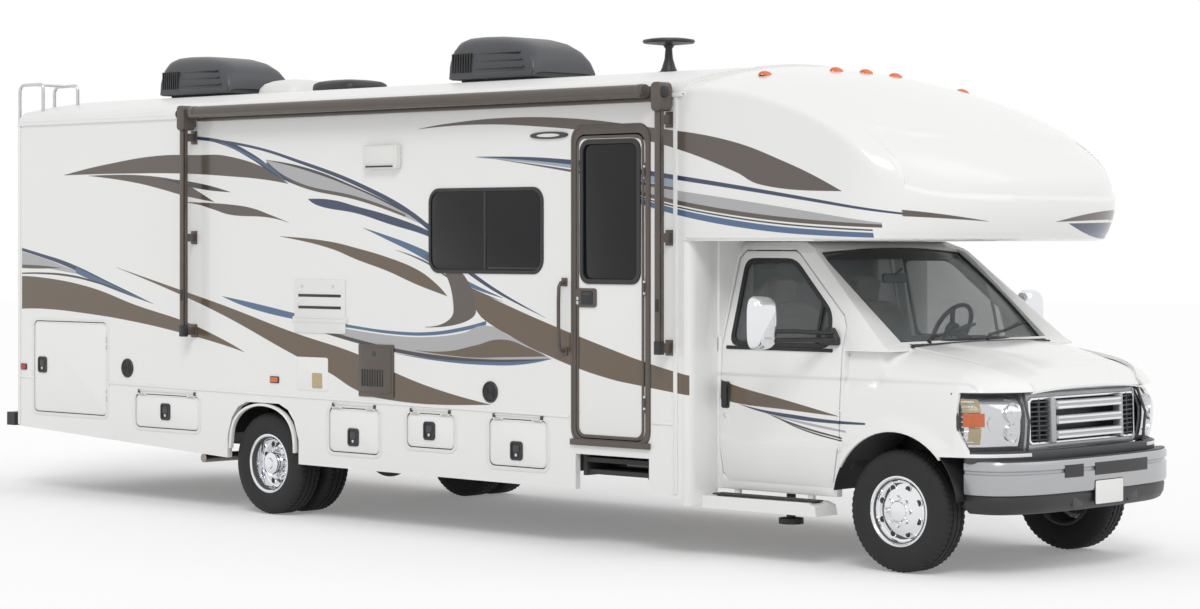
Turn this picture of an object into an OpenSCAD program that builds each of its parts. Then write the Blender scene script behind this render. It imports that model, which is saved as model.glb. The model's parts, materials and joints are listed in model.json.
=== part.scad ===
// Class C motorhome on a van cutaway chassis.
// +X points forward, +Y to the driver's side, +Z up. The origin lies on the
// ground below the middle of the vehicle.

/* [House body] */
// Length of the house from its rear wall to the seam of the front cap
house_len = 7140; // [6000:10:8600]
// Width over the side walls
house_w = 2540; // [2300:10:3050]
// Thickness of the side and rear walls
wall_t = 45; // [30:1:60]
// Height of the gutter, where walls meet the roof
gutter_z = 2936; // [2850:1:3500]
// Height of the roof crown
crown_z = 3170; // [3120:1:3700]
// Height of the lower skirt edge amidships
skirt_z = 395; // [340:1:470]
// Height of the lower skirt edge at the rear wall
tail_skirt_z = 515; // [400:1:560]
// Height of the underside of the main floor
floor_z = 840; // [830:1:850]
// Thickness of the main floor
floor_t = 60; // [40:1:80]
// Thickness of the roof
roof_t = 90; // [60:1:120]

/* [Cab] */
// Reach of the cab from the cap seam to the front bumper
cab_len = 2350; // [2340:1:2420]
// Front axle ahead of the cap seam
axle_ahead = 1480; // [1470:1:1500]
// Largest half width of the cab
cab_hw = 1010; // [990:1:1040]
// Thickness of the cab doors
cab_door_t = 70; // [50:1:90]
// Height of the cab roof
cab_top_z = 2004; // [1995:1:2004]
// Height of the cab floor
cab_floor_z = 650; // [640:1:670]

/* [Wheels] */
// Radius of the tyres
tyre_r = 372; // [360:1:374]
// Width of one tyre
tyre_w = 223; // [190:1:226]
// Radius of the rim where the tyre seats
bead_r = 203; // [195:1:210]
// Centre plane of a front wheel from the middle
front_track_y = 880; // [870:1:890]
// Centre plane of an outer rear wheel from the middle
dual_outer_y = 1115; // [1105:1:1120]
// Distance between the two centre planes of a dual pair
dual_pitch = 275; // [240:1:290]
// Radius of the wheel spindles
spindle_r = 35; // [25:1:42]

/* [Doors and hatches] */
// Gap round each hatch and door
door_gap = 7; // [6:0.5:10]
// Thickness of the hatches
hatch_t = 38; // [25:1:40]
// Width of the entry door
entry_w = 600; // [500:1:610]
// Height of the top of the entry door
entry_top_z = 2700; // [2400:1:2750]
// Height of the bottom of the entry door
entry_sill_z = 720; // [710:1:760]

/* [Fittings] */
// Width of an air conditioner shroud
ac_w = 700; // [560:1:840]
// Length of an air conditioner shroud
ac_len = 850; // [700:1:1000]
// Height of an air conditioner shroud
ac_h = 310; // [240:1:370]
// Radius of the awning roll
awning_r = 45; // [35:1:55]
// Inner width of the hitch receiver
receiver_w = 51; // [40:1:61]
// Radius of the hitch pin hole
pin_hole_r = 8; // [6:0.5:10]

/* [Hidden] */
$fn = 48;

seat_gap = 0.4;          // what touches on one body is drawn this far apart
cut = 60;                // how far a cutting shape runs past a face
bumper_reach = 360;      // rear wall to the end of the rear bumper
overall_len = bumper_reach + house_len + cab_len;
rear_x = -overall_len / 2 + bumper_reach;
seam_x = rear_x + house_len;
fx = seam_x + axle_ahead;
hw = house_w / 2;
inner_hw = hw - wall_t;
axle_z = tyre_r;
floor_top = floor_z + floor_t;
rx = rear_x + 0.4244 * house_len;

// a station along the house, from 0 at the rear wall to 1 at the cap seam
function station(f) = rear_x + f * house_len;
// points given from the front axle, moved to their place
function cab_at(points) = [for (p = points) [fx + p[0], p[1]]];

module along_x(x0, x1) {
    translate([x0, 0, 0]) rotate([90, 0, 90]) linear_extrude(x1 - x0) children();
}
module along_y(y0, y1) {
    translate([0, y1, 0]) rotate([90, 0, 0]) linear_extrude(y1 - y0) children();
}
module both_sides() {
    children();
    mirror([0, 1, 0]) children();
}
module slab(x0, x1, y0, y1, z0, z1) {
    translate([x0, y0, z0]) cube([x1 - x0, y1 - y0, z1 - z0]);
}
// a bar with its axis along X, Y or Z
module bar_x(x0, x1, y, z, r) translate([x0, y, z]) rotate([0, 90, 0]) cylinder(r = r, h = x1 - x0);
module bar_y(x, y0, y1, z, r) translate([x, y0, z]) rotate([-90, 0, 0]) cylinder(r = r, h = y1 - y0);
module bar_z(x, y, z0, z1, r) translate([x, y, z0]) cylinder(r = r, h = z1 - z0);
// a flat outline with round corners
module round_rect(x0, x1, z0, z1, r) {
    union() {
        translate([x0 + r, z0]) square([x1 - x0 - 2 * r, z1 - z0]);
        translate([x0, z0 + r]) square([x1 - x0, z1 - z0 - 2 * r]);
        for (x = [x0 + r, x1 - r], z = [z0 + r, z1 - r]) translate([x, z]) circle(r = r);
    }
}

// ---------------------------------------------------------------- hinges
// A hinge turns about its own Z axis. The moving panel lies towards -X, and the
// skin that both leaves lie on is hinge_out from the axis towards +Y.
hinge_out = 7;
hinge_r = 6;
hinge_pin_r = 3;
pin_clear = 0.05;
leaf_t = 2.5;
leaf_w = 30;
barrel_len = 60;
end_len = 14;
module moving_leaf() {
    difference() {
        union() {
            cylinder(r = hinge_r, h = barrel_len, center = true);
            translate([-leaf_w, hinge_out - leaf_t, -barrel_len / 2]) {
                cube([leaf_w, leaf_t - 1, barrel_len]);
                cube([leaf_w - 12, leaf_t + 0.5, barrel_len]);
            }
        }
        cylinder(r = hinge_pin_r + pin_clear, h = barrel_len + 2, center = true);
    }
}
module fixed_leaf() {
    cylinder(r = hinge_pin_r, h = barrel_len + 2 * end_len, center = true);
    both_ends() {
        cylinder(r = hinge_r, h = end_len);
        translate([0, hinge_out - leaf_t, 0]) cube([leaf_w, leaf_t + 0.5, end_len]);
    }
}
module both_ends() {
    translate([0, 0, barrel_len / 2 + seat_gap]) children();
    mirror([0, 0, 1]) translate([0, 0, barrel_len / 2 + seat_gap]) children();
}
// places hinges at the front edge of a side-hinged panel, or along the top of a lid
module edge_hinges(x, skin, heights) {
    for (z = heights) translate([x, -skin - hinge_out, z]) children();
}
module lid_hinges(h) {
    for (x = [h[0] + 90, h[1] - 90])
        translate([x, -hw - hinge_out, h[3] - door_gap / 2]) rotate([0, -90, 0]) children();
}

// ---------------------------------------------------------------- house layout
// each hatch: rear edge, front edge, bottom, top
rear_hatch = [station(0.0298), station(0.0298) + 955, 640, 1370];
tail_hatch = [station(0.2137), station(0.2137) + 772, 575, 836];
mid_hatch = [station(0.5274), station(0.5274) + 535, 500, 822];
centre_hatch = [station(0.6412), station(0.6412) + 482, 575, 818];
front_hatch = [station(0.7555), station(0.7555) + 549, 492, 816];
entry_front_x = seam_x - 330;
entry_rear_x = entry_front_x - entry_w;
window_x0 = station(0.6747);
window_x1 = window_x0 + 1077;
window_z0 = 1800;
window_z1 = 2355;
window_corner = 90;
bed_window_x0 = station(0.08);
bed_window_x1 = bed_window_x0 + 760;
rear_window_hw = 420;
arch_top_z = 820;
arch_half = tyre_r + 30;
arch_flat = 180;
tail_slope_x = station(0.3768);
door_frame_w = 50;

module arch_outline() {
    polygon([[rx - arch_half, skirt_z - 200], [rx - arch_half, 560],
        [rx - arch_half + 50, 700], [rx - arch_half + 120, 780], [rx - arch_flat, arch_top_z],
        [rx + arch_flat, arch_top_z], [rx + arch_half - 120, 780],
        [rx + arch_half - 50, 700], [rx + arch_half, 560], [rx + arch_half, skirt_z - 200]]);
}
module wall_outline() {
    polygon([[rear_x + wall_t + seat_gap, tail_skirt_z], [tail_slope_x, skirt_z],
        [seam_x - seat_gap, skirt_z - 20], [seam_x - seat_gap, gutter_z - seat_gap],
        [rear_x + wall_t + seat_gap, gutter_z - seat_gap]]);
}
module hatch_hole(h) {
    translate([h[0], h[2]]) square([h[1] - h[0], h[3] - h[2]]);
}
step_well_z = 613;
entry_hinge_z = [entry_sill_z + 250, (entry_sill_z + entry_top_z) / 2, entry_top_z - 250];
rear_hatch_hinge_z = [rear_hatch[2] + 130, rear_hatch[3] - 130];
module hatch_hinge_leaves() {
    edge_hinges(rear_hatch[1] - door_gap / 2, hw, rear_hatch_hinge_z) fixed_leaf();
    lid_hinges(mid_hatch) fixed_leaf();
}
module right_wall() {
    color("white") {
        edge_hinges(entry_front_x + door_gap / 2, hw, entry_hinge_z) fixed_leaf();
        hatch_hinge_leaves();
        for (h = [tail_hatch, centre_hatch, front_hatch]) lid_hinges(h) fixed_leaf();
        right_panel();
    }
}
module right_panel() {
    difference() {
        along_y(-hw, -inner_hw) wall_outline();
        along_y(-hw - cut, -inner_hw + cut) {
            arch_outline();
            for (h = [rear_hatch, tail_hatch, mid_hatch, centre_hatch, front_hatch]) hatch_hole(h);
            round_rect(window_x0, window_x1, window_z0, window_z1, window_corner);
        }
        slab(entry_rear_x - door_gap, entry_front_x + door_gap, -hw - cut, -inner_hw + cut,
            entry_sill_z - door_gap, entry_top_z + door_gap);
        slab(entry_rear_x - 10, entry_front_x + 40, -hw - cut, -inner_hw + cut,
            skirt_z - cut, step_well_z);
    }
}
module left_wall() {
    color("white") {
        mirror([0, 1, 0]) hatch_hinge_leaves();
        left_panel();
    }
}
module left_panel() {
    difference() {
        along_y(inner_hw, hw) wall_outline();
        along_y(inner_hw - cut, hw + cut) {
            arch_outline();
            for (h = [rear_hatch, mid_hatch]) hatch_hole(h);
            round_rect(window_x0, window_x1, window_z0, window_z1, window_corner);
            round_rect(bed_window_x0, bed_window_x1, window_z0, window_z1, window_corner);
        }
    }
}
module rear_wall() {
    color("white") difference() {
        slab(rear_x, rear_x + wall_t, -hw, hw, tail_skirt_z, gutter_z - seat_gap);
        along_x(rear_x - cut, rear_x + wall_t + cut)
            round_rect(-rear_window_hw, rear_window_hw, window_z0, window_z1, window_corner);
    }
}
roof_corner = 110;
// height of the crowned roof at y, for a crown of the given height
function crown(y, top) = top - (crown_z - gutter_z - roof_corner) * pow(y / (hw - roof_corner), 2);
function crown_arc(half, top) = [for (i = [-8:8]) [half * i / 8, crown(half * i / 8, top)]];
// one round corner of the roof from the gutter up, drawn in by t, on side s
function roof_bend(t, s) = [for (a = [0:15:75])
    [s * (hw - roof_corner + (roof_corner - t) * cos(a)), gutter_z + (roof_corner - t) * sin(a)]];
module roof_section(t) {
    right = roof_bend(t, -1);
    left = roof_bend(t, 1);
    polygon(concat(right, crown_arc(hw - roof_corner, crown_z - t),
        [for (i = [len(left) - 1:-1:0]) left[i]]));
}
module ceiling_section() {
    polygon(concat([[-inner_hw + 75, gutter_z - cut]], crown_arc(inner_hw - 75, crown_z - roof_t),
        [[inner_hw - 75, gutter_z - cut]]));
}
module roof() {
    color("whitesmoke") difference() {
        along_x(rear_x, seam_x - seat_gap) roof_section(0);
        along_x(rear_x + wall_t, seam_x + cut) ceiling_section();
    }
}
well_x0 = entry_rear_x - 20;
well_x1 = entry_front_x + 45;
well_depth = 430;
notch_y = 480;
bed_z = 1400;
module house_floor() {
    color("burlywood") difference() {
        union() {
            slab(rear_x + wall_t + seat_gap, seam_x - seat_gap, -inner_hw + seat_gap,
                inner_hw - seat_gap, floor_z, floor_top);
            slab(rear_x + wall_t + seat_gap, rear_hatch[1] + 60, -inner_hw + seat_gap,
                inner_hw - seat_gap, bed_z, bed_z + 25);
            slab(rear_hatch[1] + 35, rear_hatch[1] + 60, -inner_hw + seat_gap,
                inner_hw - seat_gap, floor_top - 1, bed_z + 1);
        }
        both_sides() slab(rear_hatch[0] - 10, rear_hatch[1] + 10, notch_y, hw, floor_z - cut, floor_top + cut);
        slab(well_x0, well_x1, -hw, -inner_hw + well_depth, floor_z - cut, floor_top + cut);
    }
}
tub_t = 15;
// an open-sided storage tub under the floor on the right side
module tub(x0, x1, z0, depth, top_open) {
    difference() {
        slab(x0, x1, -inner_hw + seat_gap, -inner_hw + depth, z0, floor_z - seat_gap);
        slab(x0 + tub_t, x1 - tub_t, -hw, -inner_hw + depth - tub_t, z0 + tub_t,
            top_open ? floor_z + cut : floor_z - seat_gap - tub_t);
    }
}
trunk_depth = inner_hw - notch_y;
module storage_boxes() {
    color("dimgray") {
        both_sides() {
            tub(rear_hatch[0] - 10 - tub_t, rear_hatch[1] + 10 + tub_t, rear_hatch[2] - 30,
                trunk_depth + tub_t, true);
            tub(mid_hatch[0] - 15, centre_hatch[1] + 20, mid_hatch[2] - 25, 620, false);
        }
        tub(tail_hatch[0] - 15, tail_hatch[1] + 15, tail_hatch[2] - 25, 620, false);
        tub(front_hatch[0] - 15, front_hatch[1] + 15, front_hatch[2] - 25, 620, false);
    }
}
module entry_step() {
    color("gray") {
        difference() {
            slab(well_x0 + 1, well_x1 - 1, -inner_hw + seat_gap, -inner_hw + well_depth - 1,
                step_well_z + 12, floor_top);
            slab(well_x0 + 26, well_x1 - 26, -hw, -inner_hw + well_depth - 26,
                entry_sill_z - 20, floor_top + cut);
        }
        for (x = [well_x0 + 30, well_x1 - 60])
            slab(x, x + 30, -inner_hw + 10, -inner_hw + 400, 470, step_well_z + 12 - seat_gap);
        slab(well_x0 + 60 + seat_gap, well_x1 - 60 - seat_gap, -inner_hw + 10, -inner_hw + 300, 560, 590);
        slab(well_x0 + 60 + seat_gap, well_x1 - 60 - seat_gap, -inner_hw + 30, -inner_hw + 320, 480, 510);
    }
}

// ---------------------------------------------------------------- front cap
cap_z0 = 2005;
cap_tip = 480;
cap_n = 1.6;
cap_plan_n = 2.5;
cap_shoulder = -200;
nose_z = 2270;
cap_wall = 45;
// outline of the cap seen from the side, drawn in by t
function cap_side(t) = concat(
    [[-axle_ahead, cap_z0 + t]],
    [[cap_tip - 180, cap_z0 + t], [cap_tip - 100 - t, cap_z0 + 30 + t / 2],
     [cap_tip - 30 - t, cap_z0 + 130]],
    [for (a = [0:7.5:90]) [
        -axle_ahead + (cap_tip + axle_ahead - t) * pow(cos(a), 2 / cap_n),
        nose_z + (crown_z - nose_z - 2 - t) * pow(sin(a), 2 / cap_n)]]);
// outline of the cap seen from above, drawn in by t
function cap_plan(t) = concat([[-axle_ahead - cut, -hw + t]],
    [for (i = [-12:12]) let (a = i * 7.5, s = sin(a)) [
        cap_shoulder + (cap_tip - cap_shoulder - t) * pow(cos(a), 2 / cap_plan_n),
        (hw - t) * sign(s) * pow(abs(s), 2 / cap_plan_n)]],
    [[-axle_ahead - cut, hw - t]]);
module cap_volume(t, x0) {
    intersection() {
        along_y(-hw - cut, hw + cut) polygon(cab_at(cap_side(t)));
        linear_extrude(4000) polygon(cab_at(cap_plan(t)));
        along_x(x0, fx + cab_len) union() {
            translate([-hw + t, 0]) square([house_w - 2 * t, gutter_z + 0.1]);
            roof_section(t);
        }
    }
}
corner_r = 60;
side_panel_x1 = fx - 1421;
module front_cap() {
    color("white") {
        difference() {
            cap_volume(0, seam_x);
            difference() {
                translate([-cap_wall, 0, 0]) cap_volume(cap_wall, seam_x);
                slab(seam_x - cut, fx + cab_len, -hw, hw, 0, cap_z0 + cap_wall);
            }
            slab(seam_x - cut, seam_x + 1, -inner_hw, inner_hw, cap_z0 + cap_wall, crown_z - 200);
            slab(seam_x - cut, fx - 700, -700, 700, 0, cap_z0 + cap_wall + cut);
        }
        both_sides() difference() {
            slab(seam_x, side_panel_x1, 1000, hw, 330, cap_z0 - 0.1);
            difference() {
                slab(side_panel_x1 - corner_r, fx, hw - corner_r, hw + cut, 0, 3000);
                bar_z(side_panel_x1 - corner_r, hw - corner_r, -1, 3001, corner_r);
            }
        }
    }
}

// ---------------------------------------------------------------- cab
cab_z0 = 430;
belt_z = 1345;
rail_hw = 810;
// cross-section of the cab from below to its roof, drawn in by t at the belt and
// by up at the roof
function cab_section(t, up) = let (right = [[cab_hw - 25 - t, cab_z0], [cab_hw - t, 700],
        [cab_hw - t, 1000], [cab_hw - 22 - t, belt_z], [rail_hw - up, 1935],
        [rail_hw - 70 - up, cab_top_z - up]])
    concat(right, [for (i = [len(right) - 1:-1:0]) [-right[i][0], right[i][1]]]);
// outline of the passenger cell from the side
cell_side = [[-1420, cab_z0], [-1420, 2100], [-900, 2100], [-905, cab_top_z], [-790, 1958],
    [-110, 1372], [-60, belt_z], [-60, cab_z0]];
cell_inside = [[-1500, cab_z0 - cut], [-1500, 1950], [-925, 1950], [-850, 1905],
    [-190, 1335], [-110, 1290], [-110, cab_z0 - cut]];
door_side = [[-500, 480], [-1330, 480], [-1378, 540], [-1390, 700], [-1390, 1200], [-1376, 1895],
    [-1340, 1945], [-945, 1945], [-900, 1925], [-455, 1545], [-424, 1480], [-432, 793]];
pane_gap = 0.4;
// outline of the door window, drawn in by t
function glass_side(t) = [[-1318 + t, belt_z + 15 + t], [-1318 + t, 1885 - t], [-930 - 0.3 * t, 1885 - t],
    [-560 - t, 1560 - t], [-532 - t, belt_z + 15 + t]];
// the hole is the door drawn out by the gap
door_hole = [[-492, 472], [-1334, 472], [-1387, 535], [-1400, 698], [-1400, 1200], [-1395, 1899],
    [-1353, 1953], [-943, 1953], [-895, 1932], [-449, 1551], [-416, 1482], [-424, 793]];
wheel_well = [[-462, 200], [-445, 470], [-409, 560], [-350, 670], [-250, 765], [-140, 825],
    [-20, 842], [110, 838], [233, 800], [330, 750], [440, 700], [445, 200]];
well_inner_y = 540;
nose_plan = [[-60, -cab_hw], [440, -cab_hw], [520, -985], [640, -860], [715, -650],
    [750, -600], [765, 0], [750, 600], [715, 650], [640, 860], [520, 985], [440, cab_hw],
    [-60, cab_hw]];
// cross-section of the nose with its round shoulders
function nose_section(t) = let (right = [[cab_hw - 25 - t, cab_z0], [cab_hw - t, 700],
        [cab_hw - t, 930], [cab_hw - 15 - t, 1100], [cab_hw - 60 - t, 1200],
        [cab_hw - 150 - t, 1280], [740 - t, 1330 - t], [380, 1362 - t]])
    concat(right, [for (i = [len(right) - 1:-1:0]) [-right[i][0], right[i][1]]]);
nose_side = [[-60, cab_z0], [-60, 1362], [190, 1330], [440, 1285], [600, 1225], [700, 1160],
    [760, 1060], [765, 700], [600, cab_z0]];
module nose_volume(t) {
    intersection() {
        along_x(fx - 60, fx + 770) polygon(nose_section(t));
        translate([-t, 0, 0]) along_y(-cab_hw, cab_hw) translate([0, -t]) polygon(cab_at(nose_side));
        translate([-t, 0, 0]) linear_extrude(2000) polygon(cab_at(nose_plan));
    }
}
nose_t = 30;
hood_hw = 735;
hood_x0 = fx - 52;
hood_z0 = 1114;
lamp_y0 = 640;
lamp_z0 = 765;
lamp_z1 = 1106;
grille_hw = 615;
grille_z0 = 755;
grille_z1 = 1106;
cab_hinge_x = fx - 428;
cab_hinge_z = [760, 930];
hood_hinge_y = 310;
hood_hinge_z = 1366.5;
module hood_hinges() {
    both_sides() translate([fx - 56, hood_hinge_y, hood_hinge_z]) rotate([-90, 0, 180]) children();
}
module cab_body() {
    color("white") {
        both_sides() edge_hinges(cab_hinge_x, cab_hw, cab_hinge_z) fixed_leaf();
        hood_hinges() fixed_leaf();
        both_sides() slab(fx - 86, fx - 59, hood_hinge_y - 45, hood_hinge_y + 45, 1320, hood_hinge_z - 6.5);
        difference() {
            intersection() {
                along_x(fx - 1420, fx - 60) polygon(cab_section(0, 0));
                along_y(-cab_hw, cab_hw) polygon(cab_at(cell_side));
            }
            intersection() {
                along_x(fx - 1500, fx - 60) polygon(cab_section(55, 55));
                along_y(-cab_hw, cab_hw) polygon(cab_at(cell_inside));
            }
            along_y(-cab_hw - cut, cab_hw + cut) polygon(cab_at(door_hole));
            windscreen_cut();
            both_sides() along_y(well_inner_y, cab_hw + cut) polygon(cab_at(wheel_well));
            slab(fx - 400, fx, -330, 330, 0, 1035);
            slab(fx - 111, fx, -900, 900, 0, cab_floor_z - 50);
        }
        difference() {
            nose_volume(0);
            difference() {
                nose_volume(nose_t);
                slab(fx - 61, fx - 59, -2000, 2000, 0, 2000);
            }
            slab(fx - 61, fx + 700, -960, 960, 0, belt_z - 60);
            slab(hood_x0 - 8, fx + 900, -hood_hw - 8, hood_hw + 8, hood_z0 - 8, 2000);
            slab(fx + 400, fx + 900, -2000, 2000, 0, lamp_z1 + 1);
            both_sides() along_y(well_inner_y, cab_hw + cut) polygon(cab_at(wheel_well));
        }
        both_sides() slab(fx - 61, fx + 701 - seat_gap, 600, lamp_y0 - seat_gap, 900, 1080);
    }
}
screen_hw = 775;
module windscreen_outline(out, in) {
    polygon(cab_at([[-818 + out, 1925 + out], [-160 + out, 1357 + out],
        [-160 - in, 1357 - in], [-818 - in, 1925 - in]]));
}
module windscreen_cut() {
    intersection() {
        along_y(-screen_hw - 5, screen_hw + 5) windscreen_outline(200, 200);
        along_x(fx - 1200, fx) polygon(cab_section(48, 48));
    }
}
module windscreen() {
    color("lightblue", 0.4) intersection() {
        along_y(-screen_hw, screen_hw) windscreen_outline(0, 9);
        along_x(fx - 1200, fx) polygon(cab_section(49, 49));
    }
}
tunnel_t = 25;
module cab_floor() {
    color("dimgray") difference() {
        union() {
            slab(fx - 1419, fx - 111, -915, 915, cab_floor_z - 50, cab_floor_z);
            slab(fx - 430, fx - 111, -355, 355, cab_floor_z - 1, 1060);
        }
        slab(fx - 430 + tunnel_t, fx, -330, 330, 0, 1060 - tunnel_t);
        both_sides() along_y(well_inner_y - 20, cab_hw + cut) translate([-30, 0]) polygon(cab_at(wheel_well));
    }
}
module hood() {
    color("white") hood_hinges() moving_leaf();
    color("white") intersection() {
        difference() {
            nose_volume(0);
            nose_volume(nose_t);
        }
        slab(hood_x0, fx + 900, -hood_hw, hood_hw, hood_z0, 2000);
    }
}
module cab_door_slab() {
    intersection() {
        difference() {
            along_x(fx - 1420, fx - 380) polygon(cab_section(0, 0));
            along_x(fx - 1420, fx - 380) polygon(concat([[cab_hw - 80 - cab_door_t, 0]],
                cab_section(cab_door_t, cab_door_t / 2), [[-cab_hw + 80 + cab_door_t, 0]]));
        }
        along_y(0, cab_hw + 1) polygon(cab_at(door_side));
    }
}
module cab_door() {
    mirror([0, 1, 0]) edge_hinges(cab_hinge_x, cab_hw, cab_hinge_z) moving_leaf();
    difference() {
        cab_door_slab();
        along_y(0, cab_hw + cut) polygon(cab_at(glass_side(0)));
    }
}
module door_glass() {
    intersection() {
        difference() {
            along_x(fx - 1420, fx - 380) polygon(cab_section(20, 14));
            along_x(fx - 1420, fx - 380) polygon(cab_section(26, 20));
        }
        along_y(0, cab_hw + 1) polygon(cab_at(glass_side(pane_gap)));
    }
}
module cab_door_left() { color("white") cab_door(); }
module cab_door_right() { color("white") mirror([0, 1, 0]) cab_door(); }
module door_glass_left() { color("lightblue", 0.4) door_glass(); }
module door_glass_right() { color("lightblue", 0.4) mirror([0, 1, 0]) door_glass(); }

mirror_x = fx - 700;
mirror_y0 = hw + 40;
mirror_w = 240;
// a bar between two points at one height
module arm(x0, y0, x1, y1, z, r) {
    translate([x0, y0, z]) rotate([0, 90, atan2(y1 - y0, x1 - x0)])
        cylinder(r = r, h = norm([x1 - x0, y1 - y0]));
}
module door_mirror() {
    foot_y = cab_hw - 33;
    hull() for (z = [1375, 1645], y = [mirror_y0 + 25, mirror_y0 + mirror_w - 25])
        translate([mirror_x, y, z]) sphere(r = 25, $fn = 16);
    slab(mirror_x - 10, mirror_x + 60, mirror_y0 + 20, mirror_y0 + mirror_w - 20, 1345, 1675);
    for (z = [1405, 1440]) arm(fx - 475, foot_y + 35, mirror_x + 55, mirror_y0 + 70, z, 14);
    difference() {
        slab(fx - 515, fx - 440, foot_y - 40, foot_y + 40, 1372, 1470);
        along_x(fx - 600, fx - 400) polygon(cab_section(-seat_gap, -seat_gap));
    }
}
module mirror_left() { color("silver") door_mirror(); }
module mirror_right() { color("silver") mirror([0, 1, 0]) door_mirror(); }

module grille() {
    color("dimgray") difference() {
        slab(fx + 701, fx + 764, -grille_hw, grille_hw, grille_z0, grille_z1);
        for (i = [0:2]) slab(fx + 735, fx + 800, -360, 360, 790 + 100 * i, 860 + 100 * i);
        both_sides() slab(fx + 735, fx + 800, 400, 560, 790, 1060);
    }
}
module headlamp() {
    intersection() {
        nose_volume(2);
        slab(fx + 401, fx + 900, lamp_y0, 2000, lamp_z0, lamp_z1);
        difference() {
            slab(fx + 401, fx + 900, lamp_y0, 2000, lamp_z0, lamp_z1);
            nose_volume(55);
        }
    }
}
tail_lamp_z = 1150;
module lamps() {
    color("orangered") {
        both_sides() {
            headlamp();
            slab(rear_x - 30, rear_x - seat_gap, hw - 190, hw - 60, tail_lamp_z - 130, tail_lamp_z + 130);
            translate([0, hw + seat_gap, 0]) {
                slab(rear_x + 60, rear_x + 150, 0, 14, 955, 1000);
                slab(rx + 100, rx + 210, 0, 14, 960, 1008);
            }
        }
        for (y = [-900, -200, 0, 200, 900])
            slab(rear_x - 22, rear_x - seat_gap, y - 45, y + 45, 2840, 2875);
        slab(seam_x - 1310, seam_x - 1000, -hw - 20, -hw - seat_gap, 2712, 2760);
    }
}
module front_bumper() {
    bumper_outer = [[450, -960], [600, -955], [735, -880], [830, -640], [870, -250], [870, 250],
        [830, 640], [735, 880], [600, 955], [450, 960]];
    bumper_inner = [[450, 900], [575, 890], [640, 820], [725, 600], [755, 220], [755, -220],
        [725, -600], [640, -820], [575, -890], [450, -900]];
    color("silver") {
        difference() {
            translate([0, 0, 500]) linear_extrude(205) polygon(cab_at(concat(bumper_outer, bumper_inner)));
            for (y = [-400, 400]) slab(fx + 700, fx + 900, y - 190, y + 190, 600, 660);
        }
        translate([-25, 0, 380]) linear_extrude(119.6) polygon(cab_at(concat(bumper_outer, bumper_inner)));
        both_sides() slab(fx + 600, fx + 745, 400, 470, 540, 620);
    }
}
module dashboard() {
    color("dimgray") {
        along_y(-880, 880) polygon(cab_at([[-110.4, 1065], [-110.4, 1285], [-200, 1325], [-300, 1330],
            [-400, 1290], [-440, 1180], [-380, 1065]]));
        slab(fx - 300, fx - 112, -880, -870, 1000, 1066);
    }
}
wheel_y = 450;
module steering_wheel() {
    color("black") translate([fx - 640, wheel_y, 1430]) rotate([0, -62, 0]) {
        rotate_extrude() translate([180, 0]) circle(r = 15);
        cylinder(r = 50, h = 40, center = true);
        for (a = [90, 210, 330]) rotate([0, 0, a]) translate([40, -15, -8]) cube([135, 30, 16]);
        translate([0, 0, -277.2]) cylinder(r = 30, h = 262);
    }
}
module cab_seats() {
    color("tan") both_sides() translate([fx, wheel_y, 0]) {
        slab(-1180, -760, -210, 210, cab_floor_z + seat_gap, 840);
        slab(-1230, -700, -245, 245, 840, 980);
        translate([-1190, 0, 950]) rotate([0, -12, 0]) slab(-110, 40, -240, 240, 0, 640);
        translate([-1190, 0, 950]) rotate([0, -12, 0]) slab(-90, 20, -130, 130, 639, 830);
    }
}
module running_boards() {
    color("whitesmoke") both_sides() {
        along_y(cab_hw - 60, cab_hw + 150)
            polygon(cab_at([[-1420, 318], [-1420, 396], [-560, 400], [-500, 380], [-490, 318]]));
        for (x = [-1300, -700]) slab(fx + x, fx + x + 40, cab_hw - 58, cab_hw - 30, 395, cab_z0 - seat_gap);
    }
}

// ---------------------------------------------------------------- chassis
frame_y = 430;
frame_w = 75;
frame_z0 = 440;
frame_z1 = cab_floor_z - 50 - seat_gap;
frame_x0 = rear_x + wall_t + 60;
cross_t = 30;
receiver_z = 455;
receiver_t = 12.5;
receiver_x0 = rear_x - bumper_reach + 20;
pin_hole_x = receiver_x0 + 60;
jack_x = fx - 1070;
jack_y = 690;
engine_z0 = frame_z0 + cross_t;
module chassis_frame() {
    color("black") difference() {
        union() {
            both_sides() slab(frame_x0, fx + 600, frame_y - frame_w, frame_y, frame_z0, frame_z1);
            for (x = [frame_x0 + 500, station(0.2), rx + 700, station(0.62), station(0.85)])
                slab(x, x + 80, -frame_y + 1, frame_y - 1, frame_z1 - cross_t, frame_z1);
            for (x = [station(0.2), rx + 700, station(0.62), station(0.96)])
                slab(x, x + 60, -590, 590, frame_z1 - 1, floor_z - seat_gap);
            for (x = [fx - 330, fx + 250])
                slab(x, x + 80, -frame_y + 1, frame_y - 1, frame_z0, engine_z0);
            slab(fx + 540, fx + 600, -470, 470, 500, frame_z1);
            slab(jack_x - 30, jack_x + 30, -jack_y, jack_y, frame_z0 - 20, frame_z0 + 1);
            both_sides() {
                bar_z(jack_x, jack_y, 240, frame_z0, 30);
                bar_z(jack_x, jack_y, 205, 241, 80);
            }
            slab(receiver_x0, frame_x0 + 140, -receiver_w / 2 - receiver_t, receiver_w / 2 + receiver_t,
                receiver_z - receiver_w / 2 - receiver_t, receiver_z + receiver_w / 2 + receiver_t);
            slab(frame_x0 + 100, frame_x0 + 160, -frame_y + 1, frame_y - 1, frame_z0, frame_z1);
        }
        slab(receiver_x0 - cut, frame_x0 + 60, -receiver_w / 2, receiver_w / 2,
            receiver_z - receiver_w / 2, receiver_z + receiver_w / 2);
        bar_y(pin_hole_x, -100, 100, receiver_z, pin_hole_r);
    }
}
shaft_z = 460;
shaft_r = 40;
diff_r = 170;
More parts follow.
